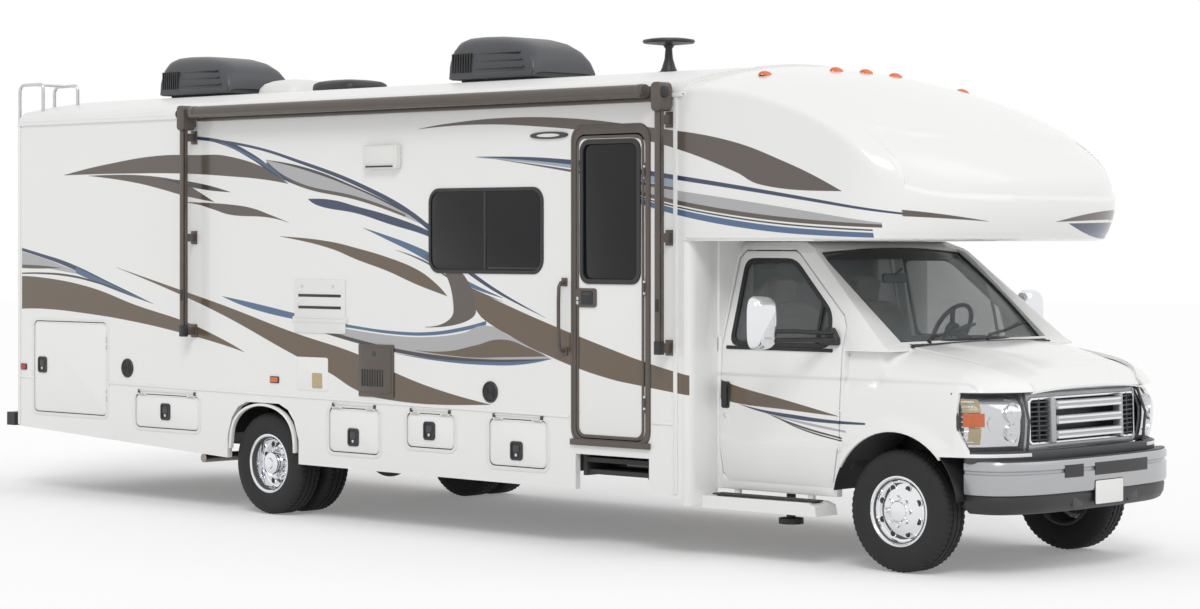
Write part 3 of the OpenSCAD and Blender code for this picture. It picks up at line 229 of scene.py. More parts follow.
# the vinyl stripes: each a colour with its upper and its lower edge, as (x, z) points; a lower edge that
# stops short of an end of the upper one runs on to a tip there
TAUPE = (0.108, 0.086, 0.074)
BROWN = (0.13, 0.094, 0.062)
NAVY = (0.03, 0.052, 0.11)
BLUE = (0.075, 0.145, 0.265)
SKY = (0.3, 0.38, 0.48)
SILVER = (0.43, 0.43, 0.44)
DARK = (0.05, 0.044, 0.048)
SIDE_STRIPES = [
    (TAUPE, [(-3.96, 2.524), (-3.4, 2.6), (-2.73, 2.655), (-2.3, 2.65), (-1.97, 2.64), (-1.24, 2.42)],
     [(-3.18, 2.524), (-2.43, 2.512), (-1.97, 2.488), (-1.55, 2.458), (-1.24, 2.42)]),
    (TAUPE, [(-3.64, 2.515), (-2.73, 2.49), (-2.44, 2.44), (-2.3, 2.385), (-2.09, 2.297)],
     [(-3.03, 2.45), (-2.73, 2.4), (-2.44, 2.345)]),
    (DARK, [(-2.7, 2.48), (-2.3, 2.442), (-1.9, 2.368)], [(-2.3, 2.4)]),
    (TAUPE, [(-2.5, 2.3), (-2.3, 2.295), (-1.91, 2.276), (-1.67, 2.25), (-1.46, 2.2), (-1.24, 2.14)],
     [(-2.3, 2.28), (-2.1, 2.24), (-1.91, 2.2), (-1.46, 2.176)]),
    (SILVER, [(-1.5, 2.6), (-1.1, 2.53), (-0.5, 2.37), (0.0, 2.2), (0.26, 2.095)],
     [(-1.1, 2.4), (-0.5, 2.295), (0.0, 2.17), (0.26, 2.09)]),
    (DARK, [(-1.5, 2.6), (-1.1, 2.545), (-0.5, 2.385), (0.0, 2.215), (0.26, 2.115)],
     [(-1.1, 2.525), (-0.5, 2.37), (0.0, 2.2), (0.26, 2.1)]),
    (TAUPE, [(-1.49, 2.59), (-1.1, 2.42), (-0.5, 2.32), (0.0, 2.19)],
     [(-1.49, 2.57), (-1.1, 2.395), (-0.5, 2.295), (0.0, 2.175)]),
    (NAVY, [(-2.3, 2.79), (-1.97, 2.75), (-1.67, 2.655), (-1.37, 2.51), (-1.1, 2.4)],
     [(-2.3, 2.775), (-1.97, 2.715), (-1.67, 2.61), (-1.37, 2.475), (-1.1, 2.395)]),
    (BLUE, [(-2.1, 2.765), (-1.67, 2.635), (-1.37, 2.5), (-1.26, 2.42)],
     [(-2.1, 2.76), (-1.67, 2.62), (-1.37, 2.488)]),
    (NAVY, [(-2.3, 2.785), (-1.67, 2.71), (-1.1, 2.585), (-0.5, 2.425), (0.11, 2.19), (0.64, 1.81),
     (1.36, 1.5)], [(-2.3, 2.765), (-1.67, 2.69), (-1.1, 2.56), (-0.5, 2.392), (0.11, 2.15),
     (0.64, 1.775)]),
    (NAVY, [(-1.03, 2.31), (-0.8, 2.303), (-0.5, 2.25), (-0.19, 2.19), (0.24, 2.075), (0.43, 1.99)],
     [(-0.92, 2.26), (-0.5, 2.2), (-0.19, 2.13), (0.24, 2.035), (0.43, 1.96)]),
    (BLUE, [(-0.44, 2.1), (-0.19, 2.045), (0.05, 1.985), (0.24, 1.925), (0.43, 1.81), (0.62, 1.735),
     (0.96, 1.625)], [(-0.19, 2.015), (0.05, 1.935), (0.24, 1.86), (0.43, 1.77), (0.62, 1.7),
     (0.96, 1.622)]),
    (TAUPE, [(-0.1, 1.945), (0.1, 1.9), (0.24, 1.855), (0.43, 1.765), (0.62, 1.7), (0.96, 1.6)],
     [(0.1, 1.888), (0.24, 1.84), (0.43, 1.75), (0.62, 1.685)]),
    (BROWN, [(-1.34, 2.04), (-0.8, 2.003), (-0.5, 1.955), (-0.19, 1.894), (0.11, 1.812), (0.29, 1.725),
     (0.42, 1.63)], [(-0.8, 1.955), (-0.5, 1.873), (-0.19, 1.797), (0.11, 1.706)]),
    (BROWN, [(-3.28, 1.8), (-2.44, 1.624), (-1.97, 1.524), (-1.18, 1.342), (-0.5, 1.206), (-0.1, 1.085),
     (0.3, 0.99), (0.84, 0.902)], [(-2.44, 1.585), (-1.97, 1.448), (-1.18, 1.18), (-0.8, 1.064),
     (-0.5, 0.948), (-0.3, 0.905)]),
    (BLUE, [(-2.0, 1.595), (-1.67, 1.554), (-1.1, 1.473), (-0.65, 1.418), (-0.04, 1.375), (0.26, 1.381),
     (0.57, 1.42), (0.8, 1.468)], [(-1.67, 1.51), (-1.1, 1.43), (-0.65, 1.395), (-0.04, 1.352),
     (0.26, 1.356), (0.57, 1.393), (0.8, 1.44)]),
    (SILVER, [(-1.2, 1.44), (-0.65, 1.385), (-0.04, 1.342), (0.26, 1.346), (0.57, 1.38), (0.8, 1.435),
     (1.02, 1.37), (1.26, 1.29), (1.41, 1.228)], [(-1.2, 1.42), (-0.65, 1.325), (-0.04, 1.24),
     (0.26, 1.215), (0.57, 1.205), (0.8, 1.205), (1.02, 1.21), (1.26, 1.22)]),
    (BROWN, [(0.1, 1.25), (0.4, 1.25), (0.7, 1.3), (0.95, 1.345), (1.2, 1.295), (1.36, 1.245)],
     [(0.4, 1.225), (0.7, 1.215), (0.95, 1.225), (1.2, 1.235)]),
    (DARK, [(-1.15, 1.425), (-0.65, 1.335), (-0.04, 1.25), (0.4, 1.218), (0.8, 1.208), (1.1, 1.215),
     (1.4, 1.228)], [(-1.15, 1.41), (-0.65, 1.308), (-0.04, 1.222), (0.4, 1.19), (0.8, 1.188),
     (1.1, 1.198)]),
    (BLUE, [(-0.1, 1.222), (0.4, 1.192), (0.8, 1.19), (1.1, 1.2), (1.42, 1.23)],
     [(0.4, 1.178), (0.8, 1.168), (1.1, 1.178)]),
    (BROWN, [(0.62, 1.7), (0.8, 1.64), (1.02, 1.57), (1.32, 1.48), (1.93, 1.312), (2.23, 1.236),
     (2.63, 1.155)], [(0.62, 1.69), (0.74, 1.5), (0.8, 1.464), (1.02, 1.373), (1.32, 1.267), (1.93, 1.115),
     (2.23, 1.076), (2.63, 1.03)]),
    (TAUPE, [(0.13, 2.783), (0.42, 2.812), (1.02, 2.836), (1.63, 2.812), (2.23, 2.745), (2.9, 2.65),
     (3.4, 2.5), (3.85, 2.313)], [(0.72, 2.797), (1.32, 2.767), (1.93, 2.706), (2.23, 2.66), (2.5, 2.6),
     (3.02, 2.437), (3.22, 2.357)]),
    (SKY, [(0.7, 2.575), (1.4, 2.55), (2.5, 2.42)], [(1.4, 2.51), (2.5, 2.35)]),
    (NAVY, [(0.7, 2.58), (1.5, 2.55), (2.5, 2.43), (4.4, 2.15)], [(1.5, 2.52), (2.5, 2.4), (4.4, 2.14)]),
    (TAUPE, [(0.9, 2.56), (1.5, 2.49), (2.5, 2.35)], [(1.5, 2.475), (2.5, 2.325)]),
    (SILVER, [(2.0, 2.39), (3.0, 2.27), (4.1, 2.12)], [(2.0, 2.36), (3.0, 2.17), (4.1, 2.1)]),
    (TAUPE, [(2.0, 2.37), (3.0, 2.2), (4.1, 2.11)], [(2.0, 2.35), (3.0, 2.17), (4.1, 2.09)]),
    (DARK, [(2.0, 2.34), (3.0, 2.16), (4.05, 2.08)], [(2.0, 2.33), (3.0, 2.15), (4.05, 2.07)]),
    (BLUE, [(2.0, 2.33), (3.0, 2.14), (4.05, 2.06)], [(2.0, 2.3), (3.0, 2.1), (4.05, 2.03)]),
    (BROWN, [(-4.6, 1.722), (-4.25, 1.712), (-3.64, 1.645), (-3.03, 1.51), (-2.43, 1.395), (-1.97, 1.267),
     (-1.74, 1.186)], [(-4.6, 1.454), (-4.25, 1.462), (-3.64, 1.433), (-3.03, 1.38), (-2.43, 1.303),
     (-1.97, 1.23)]),
    (SILVER, [(-4.6, 1.93), (-4.25, 1.87), (-3.94, 1.8), (-3.7, 1.745)],
     [(-4.6, 1.8), (-4.25, 1.79), (-3.94, 1.76), (-3.7, 1.735)]),
    (NAVY, [(-4.6, 1.962), (-4.25, 1.9), (-3.94, 1.842), (-3.34, 1.676), (-2.82, 1.525)],
     [(-4.6, 1.935), (-4.25, 1.872), (-3.94, 1.805), (-3.34, 1.64)]),
    (BLUE, [(-3.8, 1.8), (-3.34, 1.665), (-2.82, 1.525)], [(-3.8, 1.75), (-3.34, 1.632)]),
    (DARK, [(-4.6, 1.745), (-4.25, 1.752), (-3.94, 1.742), (-3.64, 1.706), (-3.03, 1.572)],
     [(-4.6, 1.735), (-4.25, 1.738), (-3.94, 1.725), (-3.64, 1.69)]),
    (TAUPE, [(-4.6, 1.812), (-4.3, 1.808), (-4.0, 1.79)], [(-4.6, 1.787), (-4.3, 1.782)]),
]
NOSE_STRIPES = [
    (TAUPE, [(0.05, 2.13), (0.5, 2.19), (0.95, 2.21)], [(0.5, 2.14), (0.95, 2.15)]),
    (NAVY, [(0.2, 2.12), (0.95, 2.13)], [(0.6, 2.04), (0.95, 2.02)]),
    (TAUPE, [(-1.15, 2.2), (-0.6, 2.13)], [(-1.15, 2.16)]),
]
CAB_STRIPES = [
    (BROWN, [(2.66, 1.125), (2.8, 1.0875), (3.2, 1.015), (3.63, 0.931)],
     [(2.66, 1.005), (2.8, 0.98), (3.2, 0.955)]),
    (NAVY, [(2.82, 0.976), (3.02, 0.946), (3.27, 0.926), (3.52, 0.908), (3.83, 0.9)],
     [(3.02, 0.93), (3.27, 0.9), (3.52, 0.886), (3.83, 0.887)]),
    (DARK, [(3.0, 0.945), (3.3, 0.865), (3.65, 0.802)], [(3.3, 0.853), (3.65, 0.792)]),
    (SILVER, [(3.05, 0.925), (3.35, 0.885), (3.68, 0.845)], [(3.35, 0.87), (3.68, 0.832)]),
    (DARK, [(3.15, 0.895), (3.4, 0.828), (3.65, 0.785)], [(3.4, 0.818), (3.65, 0.777)]),
]
SPAN_X0, SPAN_X1 = -4.7, 4.6
SPAN_Z0, SPAN_Z1 = 0.7, 3.0
TIP = 0.002


def full_edge(upper, lower):
    """A stripe's lower edge, run on to a tip under each end of the upper one that it stops short of."""
    (x0, z0), (x1, z1) = upper[0], upper[-1]
    start = [] if lower and lower[0][0] == x0 else [(x0, z0 - TIP)]
    end = [] if lower and lower[-1][0] == x1 else [(x1, z1 - TIP)]
    return start + lower + end


def stripe_mask(surface, along, height, upper, lower):
    """1 between the two edges of a stripe."""
    scale_x = SPAN_X1 - SPAN_X0
    scale_z = SPAN_Z1 - SPAN_Z0

    def edge(points):
        return surface.curve(along, [((x - SPAN_X0) / scale_x, (z - SPAN_Z0) / scale_z) for x, z in points])

    soft = 0.003 / scale_z
    first = (upper[0][0] - SPAN_X0) / scale_x
    last = (upper[-1][0] - SPAN_X0) / scale_x
    inside = (height - edge(full_edge(upper, lower))).over(0.0, soft) * (edge(upper) - height).over(0.0,
        soft)
    return inside * along.over(first, 0.0004) * along.under(last, 0.0004)


def draw_stripes(surface, color, stripes, outside, axis=None):
    """Lays the stripes over a colour where the outside mask is 1."""
    along = ((axis or surface.x) - SPAN_X0) * (1.0 / (SPAN_X1 - SPAN_X0))
    height = (surface.z - SPAN_Z0) * (1.0 / (SPAN_Z1 - SPAN_Z0))
    for shade, upper, lower in stripes:
        mask = stripe_mask(surface, along, height, upper, lower) * outside
        color = surface.mix(mask, color, (*shade, 1.0))
    return color


def draw_crescent(surface, color, outside):
    """The brown hook under the house window: what lies between two bent ovals."""
    corner_x, level = 0.2, 1.53

    def oval(reach, rise, fall):
        across = (surface.x - corner_x) * (1.0 / reach)
        up = (surface.z - level).math("MAXIMUM", 0.0) * (1.0 / rise)
        down = (level - surface.z).math("MAXIMUM", 0.0) * (1.0 / fall)
        return across * across + up * up + down * down

    mask = oval(0.5, 0.38, 0.12).under(1.0, 0.012) * oval(0.28, 0.36, 0.115).over(1.0, 0.012)
    mask = mask * surface.x.over(corner_x, 0.002) * outside
    return surface.mix(mask, color, (*TAUPE, 1.0))


def body_gelcoat(name, stripes=None, reach=1.255, color=(0.86, 0.86, 0.845), **fixed):
    """Glossy pale gelcoat or paint, with the vinyl stripes on its outer face if it has any."""
    surface = Surface(name, color, 0.22, coat_weight=0.35, coat_roughness=0.06, **fixed)
    cloud = surface.noise(0.9, 3.0)
    # Darker towards the bottom: a patchy mix towards grey-brown, full below about 0.41 m and none above
    # about 0.86 m.
    low_darkening = surface.z.math("MULTIPLY", -2.2).math("ADD", 1.9, clamp=True) * surface.noise(2.3, 5.0)
    base = surface.mix(cloud, (*[c * 0.975 for c in color], 1.0),
        (*[min(1.0, c * 1.02) for c in color], 1.0))
    base = surface.mix(low_darkening * 0.1, base, (0.62, 0.6, 0.56, 1.0))
    if stripes:
        outside = surface.y.math("ABSOLUTE").over(reach, 0.004)
        base = draw_stripes(surface, base, stripes, outside)
        if stripes is SIDE_STRIPES:
            base = draw_crescent(surface, base, outside)
    surface.feed("Base Color", base)
    surface.feed("Roughness", surface.noise(3.0, 2.0) * 0.06 + 0.17)
    return surface


def glass_finish(name, tint, alpha, vary=0.03, gloss=0.8):
    """Window glass: glossy, partly clear, a little uneven."""
    surface = Surface(name, tint, 0.03)
    surface.shader.inputs["Specular IOR Level"].default_value = gloss
    cloud = surface.noise(1.7, 2.0)
    surface.feed("Base Color", surface.mix(cloud, (*[c * 0.9 for c in tint], 1.0),
        (*[c * 1.1 for c in tint], 1.0)))
    surface.feed("Alpha", cloud * vary + (alpha - vary / 2))
    surface.feed("Roughness", surface.noise(4.0) * 0.02 + 0.015)
    return surface.material


def metal_finish(name, color, roughness, scale=14.0, stretch=None, wear=0.12):
    """Bare, polished or brushed metal with small scuffs."""
    surface = Surface(name, color, roughness, metallic=1.0)
    cloud = surface.noise(scale, 4.0, stretch)
    surface.feed("Base Color", surface.mix(cloud, (*[c * (1 - wear) for c in color], 1.0), (*color, 1.0)))
    surface.feed("Roughness", cloud * (roughness * 0.6) + roughness * 0.6)
    return surface.material


class Finishes:
    """Every finish of the vehicle, made once."""

    def __init__(self):
        self.house = body_gelcoat("striped_gelcoat", SIDE_STRIPES).material
        self.cap = self.cap_gelcoat()
        self.shell = body_gelcoat("plain_gelcoat").material
        self.roof = plain_finish("roof_gelcoat", (0.84, 0.84, 0.83), 0.35, 0.03, 1.5, (60.0, 0.0006))
        self.cab = self.cab_paint("cab_enamel")
        self.trim = plain_finish("bronze_trim", (0.1, 0.082, 0.07), 0.32, 0.1, 9.0, (220.0, 0.0003))
        self.rubber = plain_finish("seal_rubber", (0.016, 0.016, 0.017), 0.55, 0.15, 20.0, (160.0, 0.0006))
        self.black = plain_finish("black_plastic", (0.022, 0.022, 0.024), 0.42, 0.12, 12.0, (420.0, 0.0004))
        self.dark = plain_finish("dark_grey_plastic", (0.05, 0.052, 0.058), 0.45, 0.12, 5.0,
            (260.0, 0.0008))
        self.shroud = plain_finish("shroud_plastic", (0.06, 0.062, 0.07), 0.38, 0.1, 4.0, (180.0, 0.0006))
        self.frame = plain_finish("frame_enamel", (0.022, 0.022, 0.024), 0.45, 0.25, 8.0, (60.0, 0.0015))
        self.cast = plain_finish("cast_iron", (0.13, 0.125, 0.118), 0.65, 0.3, 12.0, (90.0, 0.002),
            metallic=0.6)
        self.tank = plain_finish("tank_plastic", (0.045, 0.045, 0.047), 0.6, 0.15, 6.0, (80.0, 0.001))
        self.steel = metal_finish("exhaust_steel", (0.42, 0.39, 0.35), 0.38, 9.0, None, 0.35)
        self.chrome = metal_finish("polished_chrome", (0.82, 0.83, 0.85), 0.07, 6.0, None, 0.05)
        self.satin = metal_finish("satin_aluminium", (0.66, 0.67, 0.69), 0.3, 10.0, (1, 1, 8), 0.15)
        self.silver = plain_finish("silver_paint", (0.43, 0.435, 0.45), 0.26, 0.04, 2.0, None,
            metallic=0.35, coat_weight=0.3)
        self.tyre = plain_finish("tyre_rubber", (0.015, 0.015, 0.016), 0.75, 0.22, 18.0, (240.0, 0.0008))
        self.tint = glass_finish("tinted_pane", (0.006, 0.0065, 0.008), 0.97, 0.03, 0.35)
        self.glass = glass_finish("clear_pane", (0.13, 0.15, 0.15), 0.42)
        self.lens = glass_finish("clear_lens", (0.22, 0.23, 0.24), 0.09)
        self.amber = plain_finish("amber_lens", (0.72, 0.13, 0.008), 0.15, 0.15, 30.0, None, None,
            coat_weight=0.5)
        self.red = plain_finish("red_lens", (0.45, 0.015, 0.012), 0.15, 0.15, 30.0, None, None,
            coat_weight=0.5)
        self.white = plain_finish("white_plastic", (0.8, 0.8, 0.78), 0.38, 0.04, 6.0, (300.0, 0.0003))
        self.tan = plain_finish("tan_label", (0.5, 0.4, 0.24), 0.4, 0.1, 30.0)
        self.dash = plain_finish("dash_plastic", (0.1, 0.098, 0.098), 0.55, 0.1, 10.0, (500.0, 0.0008))
        self.carpet = plain_finish("cab_carpet", (0.085, 0.08, 0.075), 0.95, 0.35, 60.0, (300.0, 0.003))
        self.fabric = self.woven("seat_weave", (0.42, 0.35, 0.27))
        self.wood = plain_finish("floor_wood", (0.36, 0.23, 0.13), 0.4, 0.3, 4.0, (40.0, 0.0008),
            (1, 14, 14))
        self.grit = plain_finish("step_tread", (0.04, 0.04, 0.042), 0.8, 0.25, 60.0, (140.0, 0.002))

    def cap_gelcoat(self):
        """The cap's gelcoat: the side stripes run on round its corners, with blades on its front."""
        surface = Surface("cap_gelcoat", (0.86, 0.86, 0.845), 0.2, coat_weight=0.35, coat_roughness=0.06)
        cloud = surface.noise(0.9, 3.0)
        base = surface.mix(cloud, (0.84, 0.84, 0.825, 1.0), (0.875, 0.875, 0.86, 1.0))
        sides = surface.y.math("ABSOLUTE").over(0.6, 0.01)
        ahead = [stripe for stripe in SIDE_STRIPES if stripe[1][-1][0] > 2.6]
        base = draw_stripes(surface, base, ahead, sides)
        base = draw_stripes(surface, base, NOSE_STRIPES, surface.x.over(4.2, 0.01), surface.y)
        surface.feed("Base Color", base)
        surface.feed("Roughness", surface.noise(3.0, 2.0) * 0.06 + 0.17)
        return surface.material

    def cab_paint(self, name):
        """Cab enamel: stripes low on the door, and soft pressed lines along the side."""
        surface = body_gelcoat(name, CAB_STRIPES, 0.93, (0.87, 0.87, 0.86))
        side = surface.y.math("ABSOLUTE").over(0.93, 0.02)
        upper = ((surface.z - 1.16) * 90.0).math("TANH")
        lower = ((surface.z - 0.76) * 70.0).math("TANH")
        surface.bump((upper - lower) * side, 0.006, 1.0)
        return surface.material

    def woven(self, name, color):
        """Upholstery cloth with a fine crossed weave."""
        surface = Surface(name, color, 0.9, sheen_weight=0.3)
        cross = (surface.y * 900.0).math("SINE") * ((surface.z + surface.x) * 900.0).math("SINE")
        cloud = surface.noise(30.0, 4.0)
        surface.feed("Base Color", surface.mix(cross * 0.25 + cloud * 0.6,
            (*[c * 0.72 for c in color], 1.0), (*[c * 1.15 for c in color], 1.0)))
        surface.bump(cross + cloud * 1.5, 0.0008, 0.8)
        return surface.material


FINISH = Finishes()


# --------------------------------------------------------------------- making
def clear_selection():
    if bpy.context.mode != "OBJECT":
        bpy.ops.object.mode_set(mode="OBJECT")
    bpy.ops.object.select_all(action="DESELECT")


def activate(*pieces):
    clear_selection()
    for piece in pieces:
        piece.select_set(True)
    bpy.context.view_layer.objects.active = pieces[0]
    return pieces[0]


def new_piece():
    """What has just been added, with its place and size held in its mesh."""
    bpy.ops.object.transform_apply(location=True, rotation=True, scale=True)
    return bpy.context.object


def edit(piece):
    activate(piece)
    bpy.ops.object.mode_set(mode="EDIT")
    bpy.ops.mesh.select_all(action="SELECT")


def leave_edit(outward=True):
    if outward:
        bpy.ops.mesh.select_all(action="SELECT")
        bpy.ops.mesh.normals_make_consistent(inside=False)
    bpy.ops.object.mode_set(mode="OBJECT")


def modify(piece, kind, **settings):
    """Adds a modifier with its settings and applies it."""
    activate(piece)
    modifier = piece.modifiers.new(kind.title(), kind)
    for name, value in settings.items():
        setattr(modifier, name, value)
    bpy.ops.object.modifier_apply(modifier=modifier.name)
    return piece


def soften(piece, width, segments=2, angle=30.0):
    if width:
        modify(piece, "BEVEL", width=width, segments=segments, limit_method="ANGLE",
            angle_limit=radians(angle), use_clamp_overlap=True)
    return piece


def place(piece, points):
    """Puts a piece's vertices at their places, in order."""
    if len(points) != len(piece.data.vertices):
        raise ValueError(f"{len(points)} places for {len(piece.data.vertices)} vertices")
    piece.data.vertices.foreach_set("co", [c for point in points for c in point])
    piece.data.update()


def finish(name):
    """A finish by its name; a material made elsewhere is passed on as it is."""
    return getattr(FINISH, name) if isinstance(name, str) else name


def painted(piece, material):
    piece.data.materials.clear()
    piece.data.materials.append(finish(material))
    return piece


def block(x0, x1, y0, y1, z0, z1, material, bevel=0.003, segments=2):
    """A rectangular piece with eased edges."""
    clear_selection()
    bpy.ops.mesh.primitive_cube_add(size=1, location=((x0 + x1) / 2, (y0 + y1) / 2, (z0 + z1) / 2),
        scale=(abs(x1 - x0), abs(y1 - y0), abs(z1 - z0)))
    piece = new_piece()
    return painted(soften(piece, bevel, segments), material)


def spot_on(axis, level, a, b):
    """A point of a flat outline: its two places, and the level along the axis it faces."""
    return {"x": (level, a, b), "y": (a, level, b), "z": (a, b, level)}[axis]


def outline(points, axis, low, high, material, bevel=0.003, segments=2):
    """A flat outline extruded from one level to another."""
    clear_selection()
    bpy.ops.mesh.primitive_circle_add(vertices=len(points), fill_type="NGON")
    piece = new_piece()
    place(piece, [spot_on(axis, low, a, b) for a, b in points])
    edit(piece)
    bpy.ops.mesh.extrude_region_move(TRANSFORM_OT_translate={"value": Vector(spot_on(axis, high - low, 0,
        0))})
    leave_edit()
    return painted(soften(piece, bevel, segments), material)


def rounded(a0, a1, b0, b1, r, steps=6, grow=0.0):
    """The outline of a rectangle with round corners, which may be grown on every side."""
    a0, a1, b0, b1 = a0 - grow, a1 + grow, b0 - grow, b1 + grow
    points = []
    for ca, cb, start in ((a1 - r, b1 - r, 0), (a0 + r, b1 - r, 90), (a0 + r, b0 + r, 180),
            (a1 - r, b0 + r, 270)):
        for i in range(steps + 1):
            angle = radians(start + 90 * i / steps)
            points.append((ca + r * cos(angle), cb + r * sin(angle)))
    return points


def disc(a, b, r, steps=32):
    return [(a + r * cos(2 * pi * i / steps), b + r * sin(2 * pi * i / steps)) for i in range(steps)]


def rim(outer, inner, axis, low, high, material, bevel=0.002):
    """A frame between an outer and an inner outline of as many points."""
    clear_selection()
    bpy.ops.mesh.primitive_torus_add(major_segments=len(outer), minor_segments=4)
    piece = new_piece()
    places = []
    for far, near in zip(outer, inner):
        places += [spot_on(axis, low, *far), spot_on(axis, high, *far), spot_on(axis, high, *near),
            spot_on(axis, low, *near)]
    place(piece, places)
    edit(piece)
    leave_edit()
    return painted(soften(piece, bevel, 2), material)


def lathe(profile, centre, axis, material, steps=48, bevel=0.0):
    """A closed profile of (radius, along) points spun round an axis."""
    clear_selection()
    bpy.ops.mesh.primitive_circle_add(vertices=len(profile), fill_type="NOTHING")
    piece = new_piece()
    centre = Vector(centre)
    along = Vector(spot_on(axis, 1.0, 0.0, 0.0))
    across = Vector((0.0, 0.0, 1.0)) if axis != "z" else Vector((1.0, 0.0, 0.0))
    place(piece, [centre + across * r + along * s for r, s in profile])
    edit(piece)
    bpy.ops.mesh.spin(steps=steps, angle=2 * pi, center=centre, axis=along)
    bpy.ops.mesh.select_all(action="SELECT")
    bpy.ops.mesh.remove_doubles(threshold=0.00001)
    bpy.ops.mesh.dissolve_degenerate(threshold=0.00001)
    leave_edit()
    return painted(soften(piece, bevel, 2), material)


def pin(r, start, end, centre, axis, material, steps=12, bevel=0.0):
    """A round bar along an axis, square at its ends."""
    return lathe([(0.0, start), (r, start), (r, end), (0.0, end)], centre, axis, material, steps, bevel)


def knob(r, rise, small, top, centre, axis, material, steps=16, out=1):
    """A round foot or button, straight up to its rise and eased in at its top."""
    profile = [(0.0, 0.0), (r, 0.0), (r, out * rise), (small, out * top), (0.0, out * top)]
    return lathe(profile, centre, axis, material, steps)


def loft(rows, material, thick=0.0, offset=-1.0):
    """A sheet through rows of points, given a thickness behind its face."""
    clear_selection()
    bpy.ops.mesh.primitive_grid_add(x_subdivisions=len(rows[0]) - 1, y_subdivisions=len(rows) - 1)
    piece = new_piece()
    place(piece, [point for row in rows for point in row])
    if thick:
        modify(piece, "SOLIDIFY", thickness=thick, offset=offset, use_even_offset=True)
        edit(piece)
        leave_edit()
    return painted(piece, material)


def pipe(points, radius, material, closed=False, sides=3):
    """A round bar along a line of points."""
    clear_selection()
    bpy.ops.curve.primitive_nurbs_path_add()
    piece = bpy.context.object
    curve = piece.data
    curve.splines.clear()
    line = curve.splines.new("POLY")
    line.points.add(len(points) - 1)
    for spot, point in zip(line.points, points):
        spot.co = (*point, 1.0)
    line.use_cyclic_u = closed
    curve.bevel_depth = radius
    curve.bevel_resolution = sides
    curve.use_fill_caps = True
    bpy.ops.object.convert(target="MESH")
    piece = new_piece()
    edit(piece)
    leave_edit()
    return painted(piece, material)


def arc(centre, r, a0, a1, steps, plane="xz", level=0.0):
    """Points on an arc in the XZ or the YZ plane."""
    points = []
    for i in range(steps + 1):
        angle = radians(a0 + (a1 - a0) * i / steps)
        a, b = centre[0] + r * cos(angle), centre[1] + r * sin(angle)
        points.append((a, level, b) if plane == "xz" else (level, a, b))
    return points


def cut(piece, cutter, operation="DIFFERENCE"):
    """Cuts a piece with another, which is used up."""
    modify(piece, "BOOLEAN", object=cutter, operation=operation, solver="EXACT")
    bpy.data.objects.remove(cutter)
    return piece


def join(parts):
    activate(*parts)
    if len(parts) > 1:
        bpy.ops.object.join()
    return bpy.context.object


def fit(parts, name, body, replaces=(), angle=38.0):
    """Joins the parts into a named piece that rides on a body."""
    piece = join(parts if isinstance(parts, list) else [parts])
    piece.name = name
    piece.data.name = name
    bpy.ops.object.shade_smooth_by_angle(angle=radians(angle))
    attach(piece, body)
    if replaces:
        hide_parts(*replaces)
    return piece


def node_copy(node):
    """A merged copy of a CAD node's mesh, free to be worked on."""
    activate(NODES[node])
    bpy.ops.object.duplicate()
    copy = bpy.context.object
    for key in list(copy.keys()):
        del copy[key]
    copy.parent = None
    edit(copy)
    bpy.ops.mesh.remove_doubles(threshold=0.00002)
    bpy.ops.mesh.tris_convert_to_quads()
    bpy.ops.mesh.dissolve_limited(angle_limit=radians(1.0))
    leave_edit()
    return copy


def carry(material, *nodes):
    """Gives CAD nodes that stay in view their finish."""
    for node in nodes:
        shown = NODES[node]
        if shown.material_slots:
            for held in shown.material_slots:
                held.material = finish(material)
        else:
            shown.data.materials.append(finish(material))


# ---------------------------------------------------------------------- stage
def seen_rays(nodes, links):
    """1 for what the eye sees, straight on or in metal and glass, and 0 for what lights the vehicle."""
    rays = nodes.new("ShaderNodeLightPath")
    total = rays.outputs["Is Camera Ray"]
    for name in ("Is Glossy Ray", "Is Transmission Ray"):
        step = nodes.new("ShaderNodeMath")
        step.operation, step.use_clamp = "ADD", True
        links.new(total, step.inputs[0])
        links.new(rays.outputs[name], step.inputs[1])
        total = step.outputs[0]
    return total


